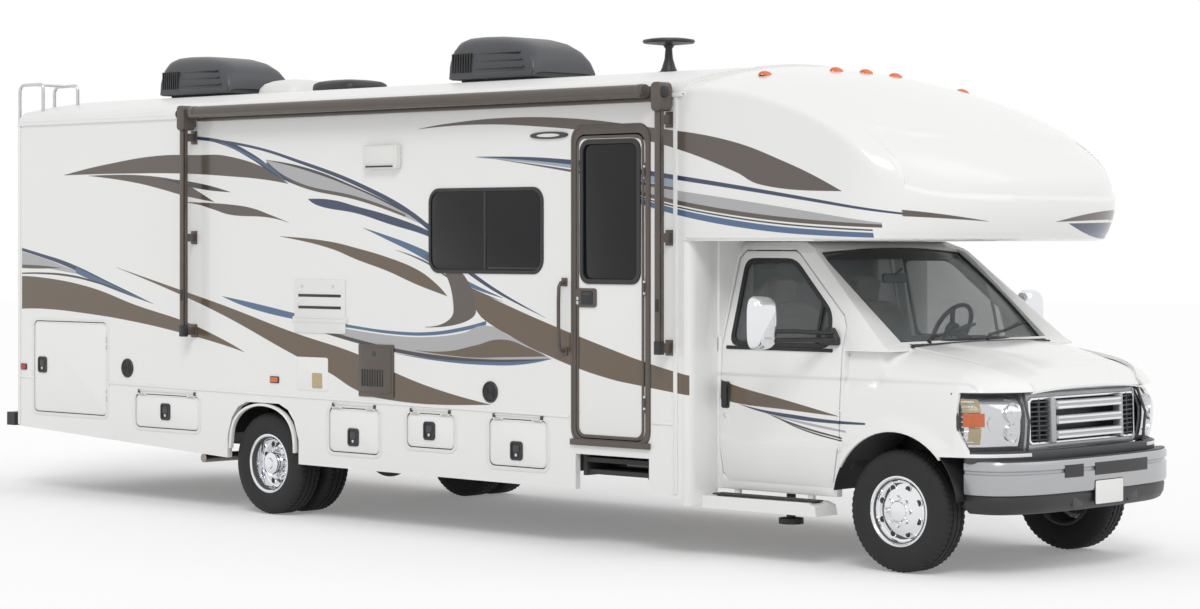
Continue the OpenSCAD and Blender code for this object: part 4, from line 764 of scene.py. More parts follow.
def build_stage(settings):
    bpy.ops.object.camera_add(location=(14.49, -14.754, 2.035), rotation=(radians(90), 0.0, radians(43.14)))
    camera = bpy.context.object
    camera.data.lens = 85.14
    camera.data.sensor_width = 36.0
    camera.data.shift_y = -0.0563
    camera.data.clip_end = 200.0
    bpy.context.scene.camera = camera

    clear_selection()
    bpy.ops.mesh.primitive_grid_add(x_subdivisions=8, y_subdivisions=8, size=120.0, location=(0, 0, -0.002))
    floor = bpy.context.object
    floor.name = "studio_floor"
    material = bpy.data.materials.new("studio_floor")
    material.use_nodes = True
    nodes, links = material.node_tree.nodes, material.node_tree.links
    shader = nodes["Principled BSDF"]
    shader.inputs["Base Color"].default_value = (*settings.floor_color, 1.0)
    shader.inputs["Roughness"].default_value = 0.9
    shader.inputs["Specular IOR Level"].default_value = 0.0
    glow = nodes.new("ShaderNodeEmission")
    share = nodes.new("ShaderNodeMath")
    share.operation = "MULTIPLY"
    share.inputs[1].default_value = 0.1
    glow.inputs["Strength"].default_value = 2.1
    blend = nodes.new("ShaderNodeMixShader")
    links.new(seen_rays(nodes, links), share.inputs[0])
    links.new(share.outputs[0], blend.inputs[0])
    links.new(shader.outputs[0], blend.inputs[1])
    links.new(glow.outputs[0], blend.inputs[2])
    links.new(blend.outputs[0], nodes["Material Output"].inputs["Surface"])
    painted(floor, material)

    world = bpy.data.worlds.new("studio")
    bpy.context.scene.world = world
    world.use_nodes = True
    nodes, links = world.node_tree.nodes, world.node_tree.links
    sky = nodes["Background"]
    level = nodes.new("ShaderNodeMapRange")
    level.inputs["To Min"].default_value = settings.sky_strength
    level.inputs["To Max"].default_value = 1.0
    links.new(seen_rays(nodes, links), level.inputs["Value"])
    links.new(level.outputs[0], sky.inputs["Strength"])
    sky.inputs["Color"].default_value = (1.0, 1.0, 1.0, 1.0)

    for direction, strength, spread in (((-0.55, 0.62, -0.75), settings.sun_strength, 22.0),
            ((-0.8, -0.5, -0.9), settings.sun_strength * 0.35, 50.0)):
        bpy.ops.object.light_add(type="SUN", location=(0, 0, 10))
        lamp = bpy.context.object
        lamp.rotation_euler = Vector(direction).to_track_quat("-Z", "Y").to_euler()
        lamp.data.energy = strength
        lamp.data.angle = radians(spread)
    bpy.context.scene.view_settings.view_transform = "Standard"


# ----------------------------------------------------------------- house walls
def side_y(side, out=0.0):
    """The outer face of a side wall, or a level proud of it."""
    return side * (HALF_W + out)


def build_walls(sizes):
    carry("house", "right_wall", "left_wall")
    carry("shell", "rear_wall")
    carry("roof", "roof")
    carry("wood", "house_floor")
    carry("tank", "storage_boxes", "tanks")
    for side, word in SIDES:
        parts = []
        belts = [(-4.56, -4.36), (-3.38, 1.58), (2.31, 2.5)] if side < 0 else [(-4.56, -4.36), (-3.38, 2.5)]
        for x0, x1 in belts:
            z = [sizes.belt_height - 0.0098 * (x - REAR_X) for x in (x0, x1)]
            parts.append(outline([(x0, z[0] - 0.009), (x1, z[1] - 0.009), (x1, z[1] + 0.009),
                (x0, z[0] + 0.009)], "y", side_y(side), side_y(side, 0.007), "shell", 0.002))
        parts.append(block(2.498, 2.53, side_y(side), side_y(side, 0.009), 0.4, 2.94, "shell", 0.003))
        parts.append(block(REAR_X, REAR_X + 0.03, side_y(side), side_y(side, 0.008), 0.53, 2.94, "shell",
            0.003))
        parts.append(block(REAR_X, 2.575, side_y(side, -0.004), side_y(side, 0.014), 2.925, 2.949, "shell",
            0.004))
        arch = [(-1.91, 0.47)] + [(REAR_AXLE_X + 0.375 * cos(radians(a)) * 0.99,
            0.44 + 0.375 * sin(radians(a)) ** 0.62) for a in range(176, 3, -8)] + [(-1.165, 0.47)]
        inner = [(REAR_AXLE_X + (x - REAR_AXLE_X) * 0.945, 0.47 + (z - 0.47) * 0.945) for x, z in arch]
        parts.append(strip_frame(arch, inner, side_y(side, -0.02), side_y(side, 0.012), "shell"))
        fit(parts, f"{word}_wall_trim", "coach")


def strip_frame(outer, inner, low, high, material):
    """An open arch-shaped flange between two lines of points, on a side wall."""
    points = list(outer) + list(reversed(inner))
    return outline(points, "y", low, high, material, 0.003)


def build_hatches(sizes):
    r = sizes.hatch_corner
    latches = {"rear": (-4.24, 1.018), "tail": (-2.67, 0.706), "mid": (-0.54, 0.615),
        "centre": (0.242, 0.697), "front": (1.09, 0.603)}
    for node, hole in HATCHES.items():
        x0, x1, z0, z1 = hole
        side = -1 if node.endswith("right") else 1
        kind = node.split("_")[0]

        def y(out):
            return side_y(side, out)

        parts = [outline(rounded(*hole, r, grow=-HATCH_GAP), "y", y(-0.036), y(-0.0005), "house", 0.004),
            rim(rounded(*hole, r - 0.004, grow=-0.012), rounded(*hole, r - 0.012, grow=-0.02), "y",
            y(-0.002), y(0.0015), "white", 0.001)]
        parts += latch(*latches[kind], side)
        if kind == "rear":
            for z in (z0 + 0.16, z1 - 0.16):
                parts.append(pin(0.0055, -0.045, 0.045, (x1 - 0.0035, y(0.007), z), "z", "satin"))
        else:
            for x in (x0 + 0.09, x1 - 0.09):
                parts.append(pin(0.0055, -0.03, 0.03, (x, y(0.007), z1 - 0.0035), "x", "satin"))
        fit(parts, node.replace("_hatch", "_lid"), HATCH_BODIES[node], (node,))
        frame = [rim(rounded(*hole, r + 0.022, grow=0.024), rounded(*hole, r, grow=-0.001), "y", y(-0.004),
            y(0.0045), "white", 0.0018)]
        if kind != "rear":
            frame.append(block(x0 + 0.06, x1 - 0.06, y(0.003), y(0.012), z1 + 0.02, z1 + 0.027, "white",
                0.001))
            for x in (x0 + 0.05, x1 - 0.05):
                frame.append(block(x - 0.014, x + 0.014, y(0.003), y(0.0085), z1 + 0.004, z1 + 0.03, "dark",
                    0.002))
        fit(frame, node + "_frame", "coach")


def latch(x, z, side):
    """A thumb latch: a dark rounded plate, a recessed paddle and its lock."""
    y = side_y(side)
    return [rim(rounded(x - 0.058, x + 0.058, z - 0.064, z + 0.064, 0.024),
        rounded(x - 0.042, x + 0.042, z - 0.048, z + 0.048, 0.016), "y", y, y + side * 0.008, "black",
        0.0025), outline(rounded(x - 0.05, x + 0.05, z - 0.056, z + 0.056, 0.018), "y", y, y + side * 0.003,
        "black", 0.001), outline(rounded(x - 0.03, x + 0.03, z - 0.01, z + 0.036, 0.01), "y", y,
        y + side * 0.0085, "dark", 0.003), knob(0.011, 0.0085, 0.007, 0.0095, (x, y, z - 0.028), "y",
        "satin", out=side)]


def build_entry_door():
    y = side_y(-1)
    x0, x1, z0, z1 = DOOR_X0, DOOR_X1, DOOR_Z0, DOOR_Z1
    light = (x0 + 0.05, x1 - 0.05, 1.748, 2.652)
    edge = rounded(x0 + 0.002, x1 - 0.003, z0 + 0.003, z1 - 0.004, 0.07)
    leaf = [rim(edge, rounded(*light, 0.06), "y", y + 0.034, y + 0.001, "house", 0.003),
        rim(edge, rounded(x0 + 0.02, x1 - 0.022, z0 + 0.024, z1 - 0.022, 0.052), "y", y + 0.002, y - 0.004,
        "trim", 0.0015), rim(rounded(*light, 0.078, grow=0.02), rounded(*light, 0.05, grow=-0.012), "y",
        y + 0.01, y - 0.008, "black", 0.003), outline(rounded(1.64, 1.826, 1.575, 1.7, 0.02), "y",
        y + 0.002, y - 0.009, "trim", 0.004), outline(rounded(1.69, 1.8, 1.592, 1.684, 0.014), "y",
        y - 0.004, y - 0.012, "black", 0.003), block(1.712, 1.778, y - 0.008, y - 0.0125, 1.655, 1.672,
        "dark", 0.0015)]
    for z in (1.632, 1.604):
        leaf.append(knob(0.012, 0.0115, 0.008, 0.0125, (1.66, y, z), "y", "satin", out=-1))
    for z in (0.96, 1.71, 2.46):
        leaf.append(pin(0.006, -0.05, 0.05, (2.2485, y - 0.007, z), "z", "trim"))
    leaf.append(block(x0 + 0.1, x1 - 0.1, y + 0.033, y + 0.04, 1.1, 1.16, "white", 0.003))
    fit(leaf, "entry_door_leaf", "entry_door_leaf", ("entry_door",))
    pane = outline(rounded(*light, 0.058, grow=-0.001), "y", y + 0.012, y + 0.005, "tint", 0.001)
    fit(pane, "entry_door_pane", "entry_door_leaf", ("entry_door_glass",))
    frame = [rim(rounded(1.596, 2.3, 0.68, 2.768, 0.1), rounded(1.641, 2.2565, 0.717, 2.705, 0.072), "y",
        y + 0.01, y - 0.0055, "trim", 0.002), rim(rounded(1.603, 2.293, 0.687, 2.761, 0.094),
        rounded(1.617, 2.279, 0.7, 2.747, 0.082), "y", y - 0.004, y - 0.0085, "trim", 0.002),
        block(1.6, 2.3, y - 0.001, y - 0.022, 0.672, 0.712, "trim", 0.004)]
    fit(frame, "entry_door_frame", "coach")


def window(hole, axis, face, out):
    """A black pane and its seal, in a wall that faces along the axis."""
    pane = outline(rounded(*hole, 0.085), axis, face - out * 0.016, face + out * 0.002, "tint", 0.002)
    seal = rim(rounded(*hole, 0.098, grow=0.014), rounded(*hole, 0.076, grow=-0.01), axis,
        face - out * 0.004, face + out * 0.0075, "black", 0.003)
    return pane, seal


def build_windows():
    panes, frames = [], []
    z0, z1 = 1.8, 2.355
    for side, x0, x1 in ((-1, 0.252, 1.329), (1, 0.252, 1.329), (1, -3.994, -3.234)):
        y = side_y(side)
        pane, seal = window((x0, x1, z0, z1), "y", y, side)
        panes.append(pane)
        middle = (x0 + x1) / 2
        frames += [seal, block(middle - 0.01, middle + 0.01, y, y + side * 0.006, z0 + 0.012, z1 - 0.012,
            "black", 0.002), block(middle + 0.03, x1 - 0.02, y, y + side * 0.0035, z0 + 0.02, z0 + 0.032,
            "black", 0.001)]
    pane, seal = window((-0.42, 0.42, 1.812, 2.357), "x", REAR_X, -1)
    fit(panes + [pane], "house_panes", "coach", ("house_windows",))
    fit(frames + [seal], "house_window_frames", "coach")


# ------------------------------------------------------------------ front cap
CAP_Z0 = 2.008
PANEL_Z = 2.26
BROW_Z = 2.66
NOSE_Z = 2.27


def smooth_max(a, b, k):
    """The larger of two gauges, eased over k where they meet."""
    return np.maximum(a, b) + np.maximum(k - np.abs(a - b), 0.0) ** 2 / (4.0 * k)


def ease(value, low, high):
    t = np.clip((value - low) / (high - low), 0.0, 1.0)
    return t * t * (3.0 - 2.0 * t)


def cap_gauge(x, y, z):
    """Below 1 inside the cap: its profile, plan, sides and flat underside, eased together."""
    far = np.abs(y)
    t = np.clip(far / 1.21, 0.0, 1.0)
    set_back = np.minimum(0.03 * (np.maximum(NOSE_Z - z, 0.0) / 0.135) ** 2, 0.2)
    length = 1.985 - 0.36 * t ** 3 - set_back
    height = 0.898 - 0.174 * t ** 2
    n = 1.6 + 0.2 * t ** 2
    u = np.maximum(x - SEAM_X, 0.0) / length
    top = np.maximum(z - NOSE_Z, 0.0) / height
    profile = (u ** n + top ** n + 1e-12) ** (1.0 / n)
    ahead = np.maximum(x - 3.8, 0.0) / (0.745 - set_back)
    plan = (ahead ** 2.4 + (far / HALF_W) ** 2.4 + 1e-12) ** (1.0 / 2.4)
    side = np.where(x > 3.8, plan, far / HALF_W)
    under = (NOSE_Z - z) / (NOSE_Z - CAP_Z0)
    return smooth_max(smooth_max(profile, side, 0.055), under, 0.09)


def build_cap(sizes):
    clear_selection()
    bpy.ops.mesh.primitive_cube_add(size=2.0)
    shell = bpy.context.object
    edit(shell)
    bpy.ops.mesh.subdivide(number_cuts=sizes.cap_detail)
    bpy.ops.mesh.select_all(action="DESELECT")
    bpy.ops.mesh.select_mode(type="FACE")
    leave_edit(outward=False)
    for face in shell.data.polygons:
        face.select = face.center.x < -0.9999
    bpy.ops.object.mode_set(mode="EDIT")
    bpy.ops.mesh.delete(type="FACE")
    bpy.ops.mesh.select_mode(type="VERT")
    leave_edit(outward=False)

    corner = np.zeros(len(shell.data.vertices) * 3)
    shell.data.vertices.foreach_get("co", corner)
    way = corner.reshape(-1, 3) * np.array([0.5, 1.0, 1.0]) + np.array([0.5, 0.0, 0.0])
    way = np.tan(way * 0.72) / tan(0.72) * np.array([1.9, 1.27, 0.62])
    centre = np.array([SEAM_X, 0.0, 2.45])
    near, far = np.zeros(len(way)), np.full(len(way), 3.0)
    for _ in range(40):
        middle = (near + far) / 2
        x, y, z = (centre + way * middle[:, None]).T
        inside = cap_gauge(x, y, z) < 1.0
        near, far = np.where(inside, middle, near), np.where(inside, far, middle)
    place_now = centre + way * near[:, None]

    x, y, z = place_now.T
    reach = np.abs(y)
    low_edge = PANEL_Z + 0.09 * (reach / 1.17) ** 8
    rear_edge = 4.25 - 0.6 * (z - 2.3)
    brow = BROW_Z + 0.13 * (reach / 1.1) ** 10
    panel = ease(z - low_edge, 0.0, 0.03) * np.where(reach > 1.12, ease(x - rear_edge, 0.0, 0.03), 1.0)
    panel *= 1.0 - ease(z - brow, -0.03, 0.03)
    panel *= ease(x, 3.9, 4.0)
    sink = 0.02 * panel
    crease = np.exp(-((z - brow) / 0.026) ** 2) * ease(x, 3.7, 3.85)
    sink -= 0.006 * crease
    lip = np.exp(-((z - 2.042) / 0.01) ** 2) * ease(x, 2.6, 2.7)
    sink += 0.0035 * lip
    length = np.linalg.norm(way, axis=1)
    place_now = place_now - way / length[:, None] * sink[:, None]
    place(shell, [tuple(point) for point in place_now])
    edit(shell)
    leave_edit()
    painted(shell, "cap")

    parts = [shell]
    for side in (-1, 1):
        y = side * HALF_W
        post = [(SEAM_X, y), (2.584, y), (2.61, y - side * 0.008), (2.627, y - side * 0.027),
            (2.634, y - side * 0.06), (2.634, side * 1.0), (SEAM_X, side * 1.0)]
        parts.append(outline(post, "z", 0.33, 2.03, "house", 0.002))
    fit(parts, "cap_shell", "coach", ("front_cap",), 30.0)

    trims = []
    for side in (-1, 1):
        y = side * HALF_W
        trims.append(outline([(SEAM_X + 0.004, 2.02), (3.62, 2.02), (3.62, 2.01), (SEAM_X + 0.004, 2.01)],
            "y", y - side * 0.03, y + side * 0.004, "shell", 0.003))
    crown = [(y, roof_line(y)) for y in (-1.272 + 2.544 * i / 32 for i in range(33))]
    x0, x1 = 2.556, 2.594
    trims.append(loft([[(x, y * (1.0 + lift / 1.6), z + lift) for y, z in crown] for x,
        lift in ((x0, -0.02), (x0, 0.013), (x1, 0.013), (x1, -0.02))], "shell"))
    fit(trims, "cap_trim", "coach", (), 30.0)

    lamps = [clearance_lamp(AXLE_X - 1.0 + 0.24 * y, y) for y in (-0.8, -0.24, 0.0, 0.24, 0.8)]
    fit(lamps, "cap_clearance_lamps", "coach")


def roof_line(y):
    """Height of the roof over the crown and its round edges."""
    flat = HALF_W - 0.06
    reach = min(abs(y), flat)
    z = 3.168 - 0.174 * (reach / flat) ** 2
    over = min(max(abs(y) - flat, 0.0) / 0.06, 1.0)
    return z - 0.06 * (1.0 - sqrt(max(0.0, 1.0 - over * over)))


def cap_top(x, y):
    """Height of the cap above a place."""
    low, high = NOSE_Z, 3.3
    for _ in range(30):
        middle = (low + high) / 2
        inside = float(cap_gauge(np.array([x]), np.array([y]), np.array([middle]))[0]) < 1.0
        low, high = (middle, high) if inside else (low, middle)
    return low


def clearance_lamp(x, y):
    """A small amber dome, leaning with the cap."""
    z = cap_top(x, y)
    slope = atan2(cap_top(x - 0.05, y) - cap_top(x + 0.05, y), 0.1)
    half, rise = 0.062, 0.03
    rows = []
    for i in range(7):
        t = radians(90 * i / 6)
        rows.append([(x + cos(a) * half * 0.55 * cos(t), y + sin(a) * half * cos(t),
            z - 0.004 - cos(a) * half * 0.55 * cos(t) * tan(slope) + rise * sin(t))
            for a in [2 * pi * k / 20 for k in range(21)]])
    return loft(rows, "amber")


# -------------------------------------------------------------------- awning
def build_awning(sizes):
    y, z = -1.375, 2.965
    x0, x1 = -2.225, 2.348
    wall, trim = -1.2705, "trim"
    roll = [pin(sizes.awning_radius, 0.0, x1 - x0, (x0, y, z), "x", trim, 40)]
    for x in (x0 + 0.02, x1 - 0.06):
        roll.append(pin(0.0455, 0.0, 0.04, (x, y, z), "x", trim, 40, 0.002))
    roll += [block(x0, x1, -1.33, wall, 2.899, 2.924, trim, 0.004),
        block(x0, x1, -1.285, wall, 2.924, 3.0, trim, 0.004),
        block(x0 + 0.01, x1 - 0.01, -1.418, -1.4, 2.925, 2.95, trim, 0.006)]
    fit(roll, "awning_roll", "coach", ("awning",))
    arms = []
    for xa, xb, end in ((-2.345, -2.3, -1), (2.443, 2.488, 1)):
        head = (xa - 0.02, xb + 0.02)
        arms += [outline(rounded(*head, 2.832, 3.018, 0.03), "y", -1.412, -1.295, trim, 0.01, 3),
            block(xa, xb, -1.3, wall, 2.86, 2.99, trim, 0.006),
            knob(0.036, 0.012, 0.02, 0.018, (head[end > 0], y, 2.955), "x", "black", 24, end),
            block(xa, xb, -1.395, -1.381, 1.29, 2.84, trim, 0.003)]
        for x in (xa + 0.004, xb - 0.004):
            arms.append(block(x - 0.004, x + 0.004, -1.393, -1.352, 1.292, 2.84, trim, 0.002))
        arms += [block(xa + 0.011, xb - 0.011, -1.376, -1.35, 1.42, 2.8, "dark", 0.003),
            block(xa - 0.004, xb + 0.004, -1.399, -1.35, 1.288, 1.375, "black", 0.006),
            block(xa + 0.008, xb - 0.008, -1.4, -1.38, 1.56, 1.64, "black", 0.004)]
        for z in (1.3, 2.0, 2.75):
            arms += [block(xa + 0.005, xb - 0.005, -1.352, wall, z, z + 0.06, trim, 0.004),
                block(xa - 0.012, xb + 0.012, -1.279, wall, z - 0.02, z + 0.08, trim, 0.003)]
    fit(arms, "awning_arms", "coach")


# ------------------------------------------------------------- roof equipment
def shroud(x0, x1, half, base, top):
    """An air conditioner's moulded shroud, falling to the front; its louvres and ribs are added apart."""
    span = x1 - x0
    line = [(0.0, 0.1), (0.0, 0.7), (0.012, 0.83), (0.05, 0.94), (0.12, 0.99), (0.25, 1.0), (0.45, 0.985),
        (0.62, 0.94), (0.78, 0.84), (0.9, 0.68), (0.965, 0.5), (0.992, 0.3), (1.0, 0.1)]
    rows = []
    for k, (t, h) in enumerate(line):
        x = x0 + span * t
        high = base + (top - base) * h
        ends = 0.965 if k in (0, len(line) - 1) else 1.0
        wide = half * ends * (1.0 - 0.06 * t)
        row = []
        for i in range(25):
            a = pi * i / 24
            c, s = cos(a), sin(a)
            yy = -wide * copysign(abs(c) ** 0.34, c) * (1.0 - 0.1 * abs(s) ** 0.8)
            zz = base + (high - base) * abs(s) ** 0.42
            row.append((x, yy, zz))
        rows.append(row)
    return loft(rows, "shroud")


def build_roof_gear():
    parts = []
    for x0 in (-3.917, -0.525):
        x1, base, top = x0 + 0.85, 3.186, 3.5
        parts.append(shroud(x0 + 0.002, x1 - 0.002, 0.348, base, top))
        parts.append(block(x0 + 0.004, x1 - 0.02, -0.34, 0.34, base - 0.006, base + 0.045, "shroud", 0.01))
        parts.append(block(x0 + 0.06, x1 - 0.06, -0.28, 0.28, 3.13, base, "black", 0.005))
        for i in range(15):
            y = -0.287 + 0.041 * i
            parts.append(block(x0 - 0.0005, x0 + 0.02, y - 0.006, y + 0.006, base + 0.045, base + 0.215,
                "black", 0.002))
        for i in range(4):
            z = base + 0.06 + 0.045 * i
            parts.append(block(x0, x0 + 0.018, -0.3, 0.3, z - 0.004, z + 0.004, "black", 0.001))
        for side in (-1, 1):
            for i in range(8):
                x = x0 + 0.035 + 0.026 * i
                parts.append(block(x - 0.006, x + 0.006, side * 0.318, side * 0.3495, base + 0.045,
                    base + 0.185, "black", 0.002))
            for i in range(3):
                z = base + 0.07 + 0.055 * i
                parts.append(block(x0 + 0.25, x1 - 0.1 - 0.03 * i, side * (0.3 - 0.012 * i),
                    side * (0.3435 - 0.008 * i), z - 0.005, z + 0.005, "shroud", 0.003))
    fit(parts, "roof_air_conditioners", "coach", ("air_conditioners",), 45.0)

    low = ((1.0, 0.0), (1.0, 0.035), (0.97, 0.06), (0.85, 0.078), (0.55, 0.09), (0.0, 0.094))
    tall = ((1.0, 0.0), (1.0, 0.03), (0.96, 0.07), (0.84, 0.105), (0.6, 0.13), (0.3, 0.142), (0.0, 0.145))
    vents = [dome(low, (-1.995, 0.0, 3.16), 0.23, "black"), dome(tall, (-2.744, 0.1, 3.145), 0.25, "white"),
        lathe([(0, 0), (0.095, 0), (0.095, 0.022), (0.06, 0.034), (0.048, 0.06), (0.03, 0.12),
        (0.024, 0.19), (0.04, 0.214), (0.175, 0.228), (0.184, 0.24), (0.178, 0.252), (0.12, 0.262),
        (0.0, 0.264)], (1.321, 0.0, 3.155), "z", "black", 48)]
    fit(vents, "roof_vents_and_antenna", "coach", ("roof_vents",), 45.0)


def dome(levels, centre, half, material):
    """A rounded square lid that draws in level by level: how wide it is, and how high."""
    return loft([[(centre[0] + 0.25 * s * a, centre[1] + half * s * b, centre[2] + h) for a,
        b in unit_loop(40)] for s, h in levels], material)


def unit_loop(steps, power=0.45):
    """A rounded square of unit half size, closed on itself."""
    points = []
    for i in range(steps + 1):
        a = 2 * pi * i / steps
        c, s = cos(a), sin(a)
        points.append((copysign(abs(c) ** power, c), copysign(abs(s) ** power, s)))
    return points


def build_ladder():
    parts = []
    x, top = -4.675, 3.262
    for y in (-1.18, -0.84):
        r = 0.06
        line = [(x, y, 0.705), (x, y, top - r)] + arc((x + r, top - r), r, 180, 90, 8, level=y)[1:]
        line += [(-4.4, y, top)] + arc((-4.4, top - 0.04), 0.04, 90, 0, 6,
            level=y)[1:] + [(-4.36, y, roof_line(y) - 0.01)]
        parts.append(pipe(line, 0.0135, "satin", sides=4))
        parts.append(knob(0.032, 0.006, 0.016, 0.012, (-4.36, y, roof_line(y) - 0.004), "z", "satin", 24))
        for z in (0.76, 1.6, 2.5):
            parts.append(pipe([(x, y, z), (REAR_X - 0.003, y, z)], 0.01, "satin"))
            parts.append(pin(0.024, 0.0, 0.008, (REAR_X - 0.009, y, z), "x", "black", 20))
    for i in range(8):
        z = 0.8 + 0.29 * i
        parts.append(pipe([(x, -1.18, z), (x, -0.84, z)], 0.0125, "satin", sides=4))
        parts.append(block(x - 0.014, x + 0.01, -1.15, -0.87, z + 0.006, z + 0.014, "grit", 0.003))
    parts.append(pipe([(-4.5, -1.18, top), (-4.5, -0.84, top)], 0.0115, "satin", sides=4))
    fit(parts, "rear_ladder", "coach", ("ladder",), 50.0)


# -------------------------------------------------------------- side fittings
def louvre_panel(x0, side):
    """The refrigerator's service panel, with slots and its light strip."""
    x1 = x0 + 0.55

    def y(out):
        return side_y(side, out)

    parts = [outline(rounded(x0, x1, 1.345, 1.73, 0.012), "y", y(0.0), y(0.009), "white", 0.003)]
    for z in (1.615, 1.53):
        parts.append(block(x0 + 0.045, x1 - 0.045, y(0.0085), y(0.0105), z - 0.011, z + 0.011, "black",
            0.001))
        parts.append(block(x0 + 0.04, x1 - 0.04, y(0.0085), y(0.0135), z + 0.009, z + 0.022, "white",
            0.002))
    for x in (x0 + 0.085, x1 - 0.13):
        parts.append(outline(disc(x, 1.68, 0.013, 16), "y", y(0.008), y(0.011), "satin", 0.001))
    for z in (1.455, 1.425):
        parts.append(block(x0 + 0.02, x1 - 0.02, y(0.0085), y(0.0125), z - 0.004, z + 0.004, "white",
            0.001))
    for x in (x0 - 0.018, x1 - 0.008):
        parts.append(block(x, x + 0.026, y(0.0), y(0.0125), 1.418, 1.462, "white", 0.004))
    return parts


def build_side_fittings():
    parts = louvre_panel(-1.17, -1) + louvre_panel(-2.38, 1)
    y = side_y(-1)
    # range hood vent
    parts.append(block(-0.388, -0.04, y - 0.055, y, 2.51, 2.68, "white", 0.012, 3))
    parts.append(block(-0.37, -0.058, y - 0.06, y - 0.052, 2.545, 2.668, "white", 0.006))
    parts.append(block(-0.355, -0.073, y - 0.058, y - 0.05, 2.522, 2.534, "black", 0.002))
    # furnace and water heater panels
    for side, x0, x1, z0, z1 in ((-1, -0.479, -0.115, 0.909, 1.28), (1, 1.504, 1.884, 1.004, 1.28)):
        face, span = side_y(side), x1 - x0
        parts.append(outline(rounded(x0, x1, z0, z1, 0.01), "y", face, face + side * 0.01, "trim", 0.004))
        parts.append(outline(rounded(x0 + 0.02, x1 - 0.02, z0 + 0.03, z1 - 0.02, 0.012), "y", face,
            face + side * 0.016, "trim", 0.006))
        for i in range(9):
            x = x0 + span * (0.13 + 0.072 * i)
            parts.append(block(x - 0.007, x + 0.007, face + side * 0.012, face + side * 0.0195, z0 + 0.075,
                z0 + 0.195, "black", 0.002))
        parts.append(knob(0.02, 0.018, 0.014, 0.0195, (x0 + span * 0.46, face, z1 - 0.065), "y", "dark", 20,
            side))
    # tan plate on a white one
    parts.append(outline(rounded(-1.15, -0.81, 0.93, 1.17, 0.018), "y", y, y - 0.004, "shell", 0.002))
    parts.append(outline(rounded(-0.98, -0.87, 0.948, 1.058, 0.012), "y", y - 0.002, y - 0.0065, "tan",
        0.002))
    # speakers
    for x, z in ((-3.14, 1.024), (0.84, 0.988)):
        parts.append(lathe([(0, 0), (0.073, 0), (0.073, -0.006), (0.066, -0.012), (0.06, -0.012),
            (0.056, -0.005), (0, -0.004)], (x, y, z), "y", "black", 40))
        for k in range(1, 5):
            ring = [(0.011 * k + r, out) for r, out in ((0.002, -0.004), (0.006, -0.004), (0.006, -0.0095),
                (0.002, -0.0095))]
            parts.append(lathe(ring, (x, y, z), "y", "dark", 32))
    # grab handle
    line = ((0.002, 1.282), (0.04, 1.286), (0.058, 1.315), (0.062, 1.4), (0.062, 1.62), (0.058, 1.705),
        (0.04, 1.734), (0.002, 1.738))
    parts.append(pipe([(1.538, y - out, z) for out, z in line], 0.0125, "trim", sides=4))
    for z in (1.282, 1.738):
        parts.append(block(1.512, 1.564, y - 0.01, y, z - 0.028, z + 0.028, "trim", 0.006, 3))
    fit(parts, "side_fittings_set", "coach", ("side_fittings",))


def small_lamp(x, z, side, wide, tall, lens):
    """A side marker lamp with its bezel."""
    y = side_y(side)
    x0, x1, z0, z1 = x - wide / 2, x + wide / 2, z - tall / 2, z + tall / 2
    return [outline(rounded(x0 - 0.008, x1 + 0.008, z0 - 0.007, z1 + 0.007, 0.01), "y", y, y + side * 0.007,
        "dark", 0.002), outline(rounded(x0, x1, z0, z1, 0.008), "y", y, y + side * 0.015, lens, 0.004, 3)]


def build_lamps():
    """Markers, the porch light and the tail lamps; the headlamps are in the cab's front."""
    def behind(hole, r, start, end, material, bevel, segments=2):
        return outline(rounded(*hole, r), "x", REAR_X + start, REAR_X - end, material, bevel, segments)

    parts = []
    for side in (-1, 1):
        parts += small_lamp(-1.397, 0.994, side, 0.085, 0.036, "amber")
        parts += small_lamp(-4.488, 0.994, side, 0.06, 0.036, "red")
        y0, y1 = sorted((side * 1.085, side * 1.205))
        parts.append(behind((y0, y1, 1.022, 1.278), 0.022, 0.001, 0.01, "black", 0.003))
        for z0, z1, lens in ((1.196, 1.266, "red"), (1.118, 1.188, "amber"), (1.034, 1.11, "lens")):
            parts.append(behind((y0 + 0.01, y1 - 0.01, z0, z1), 0.012, -0.004, 0.026, lens, 0.006, 3))
    for y in (-0.9, -0.2, 0.0, 0.2, 0.9):
        parts.append(behind((y - 0.048, y + 0.048, 2.836, 2.878), 0.012, 0.001, 0.008, "dark", 0.002))
        parts.append(behind((y - 0.04, y + 0.04, 2.842, 2.872), 0.01, -0.004, 0.02, "red", 0.005, 3))
    y = side_y(-1)
    shell = [(1.397 + 0.172 * cos(a), 2.7075 + 0.024 * copysign(abs(sin(a)) ** 0.8, sin(a)))
        for a in [2 * pi * i / 40 for i in range(40)]]
    lens = [(1.397 + 0.105 * cos(a), 2.7075 + 0.012 * sin(a)) for a in [2 * pi * i / 32 for i in range(32)]]
    parts += [outline(shell, "y", y, y - 0.014, "dark", 0.006, 3),
        outline(lens, "y", y - 0.01, y - 0.0185, "white", 0.003)]
    fit(parts, "marker_and_tail_lamps", "coach")


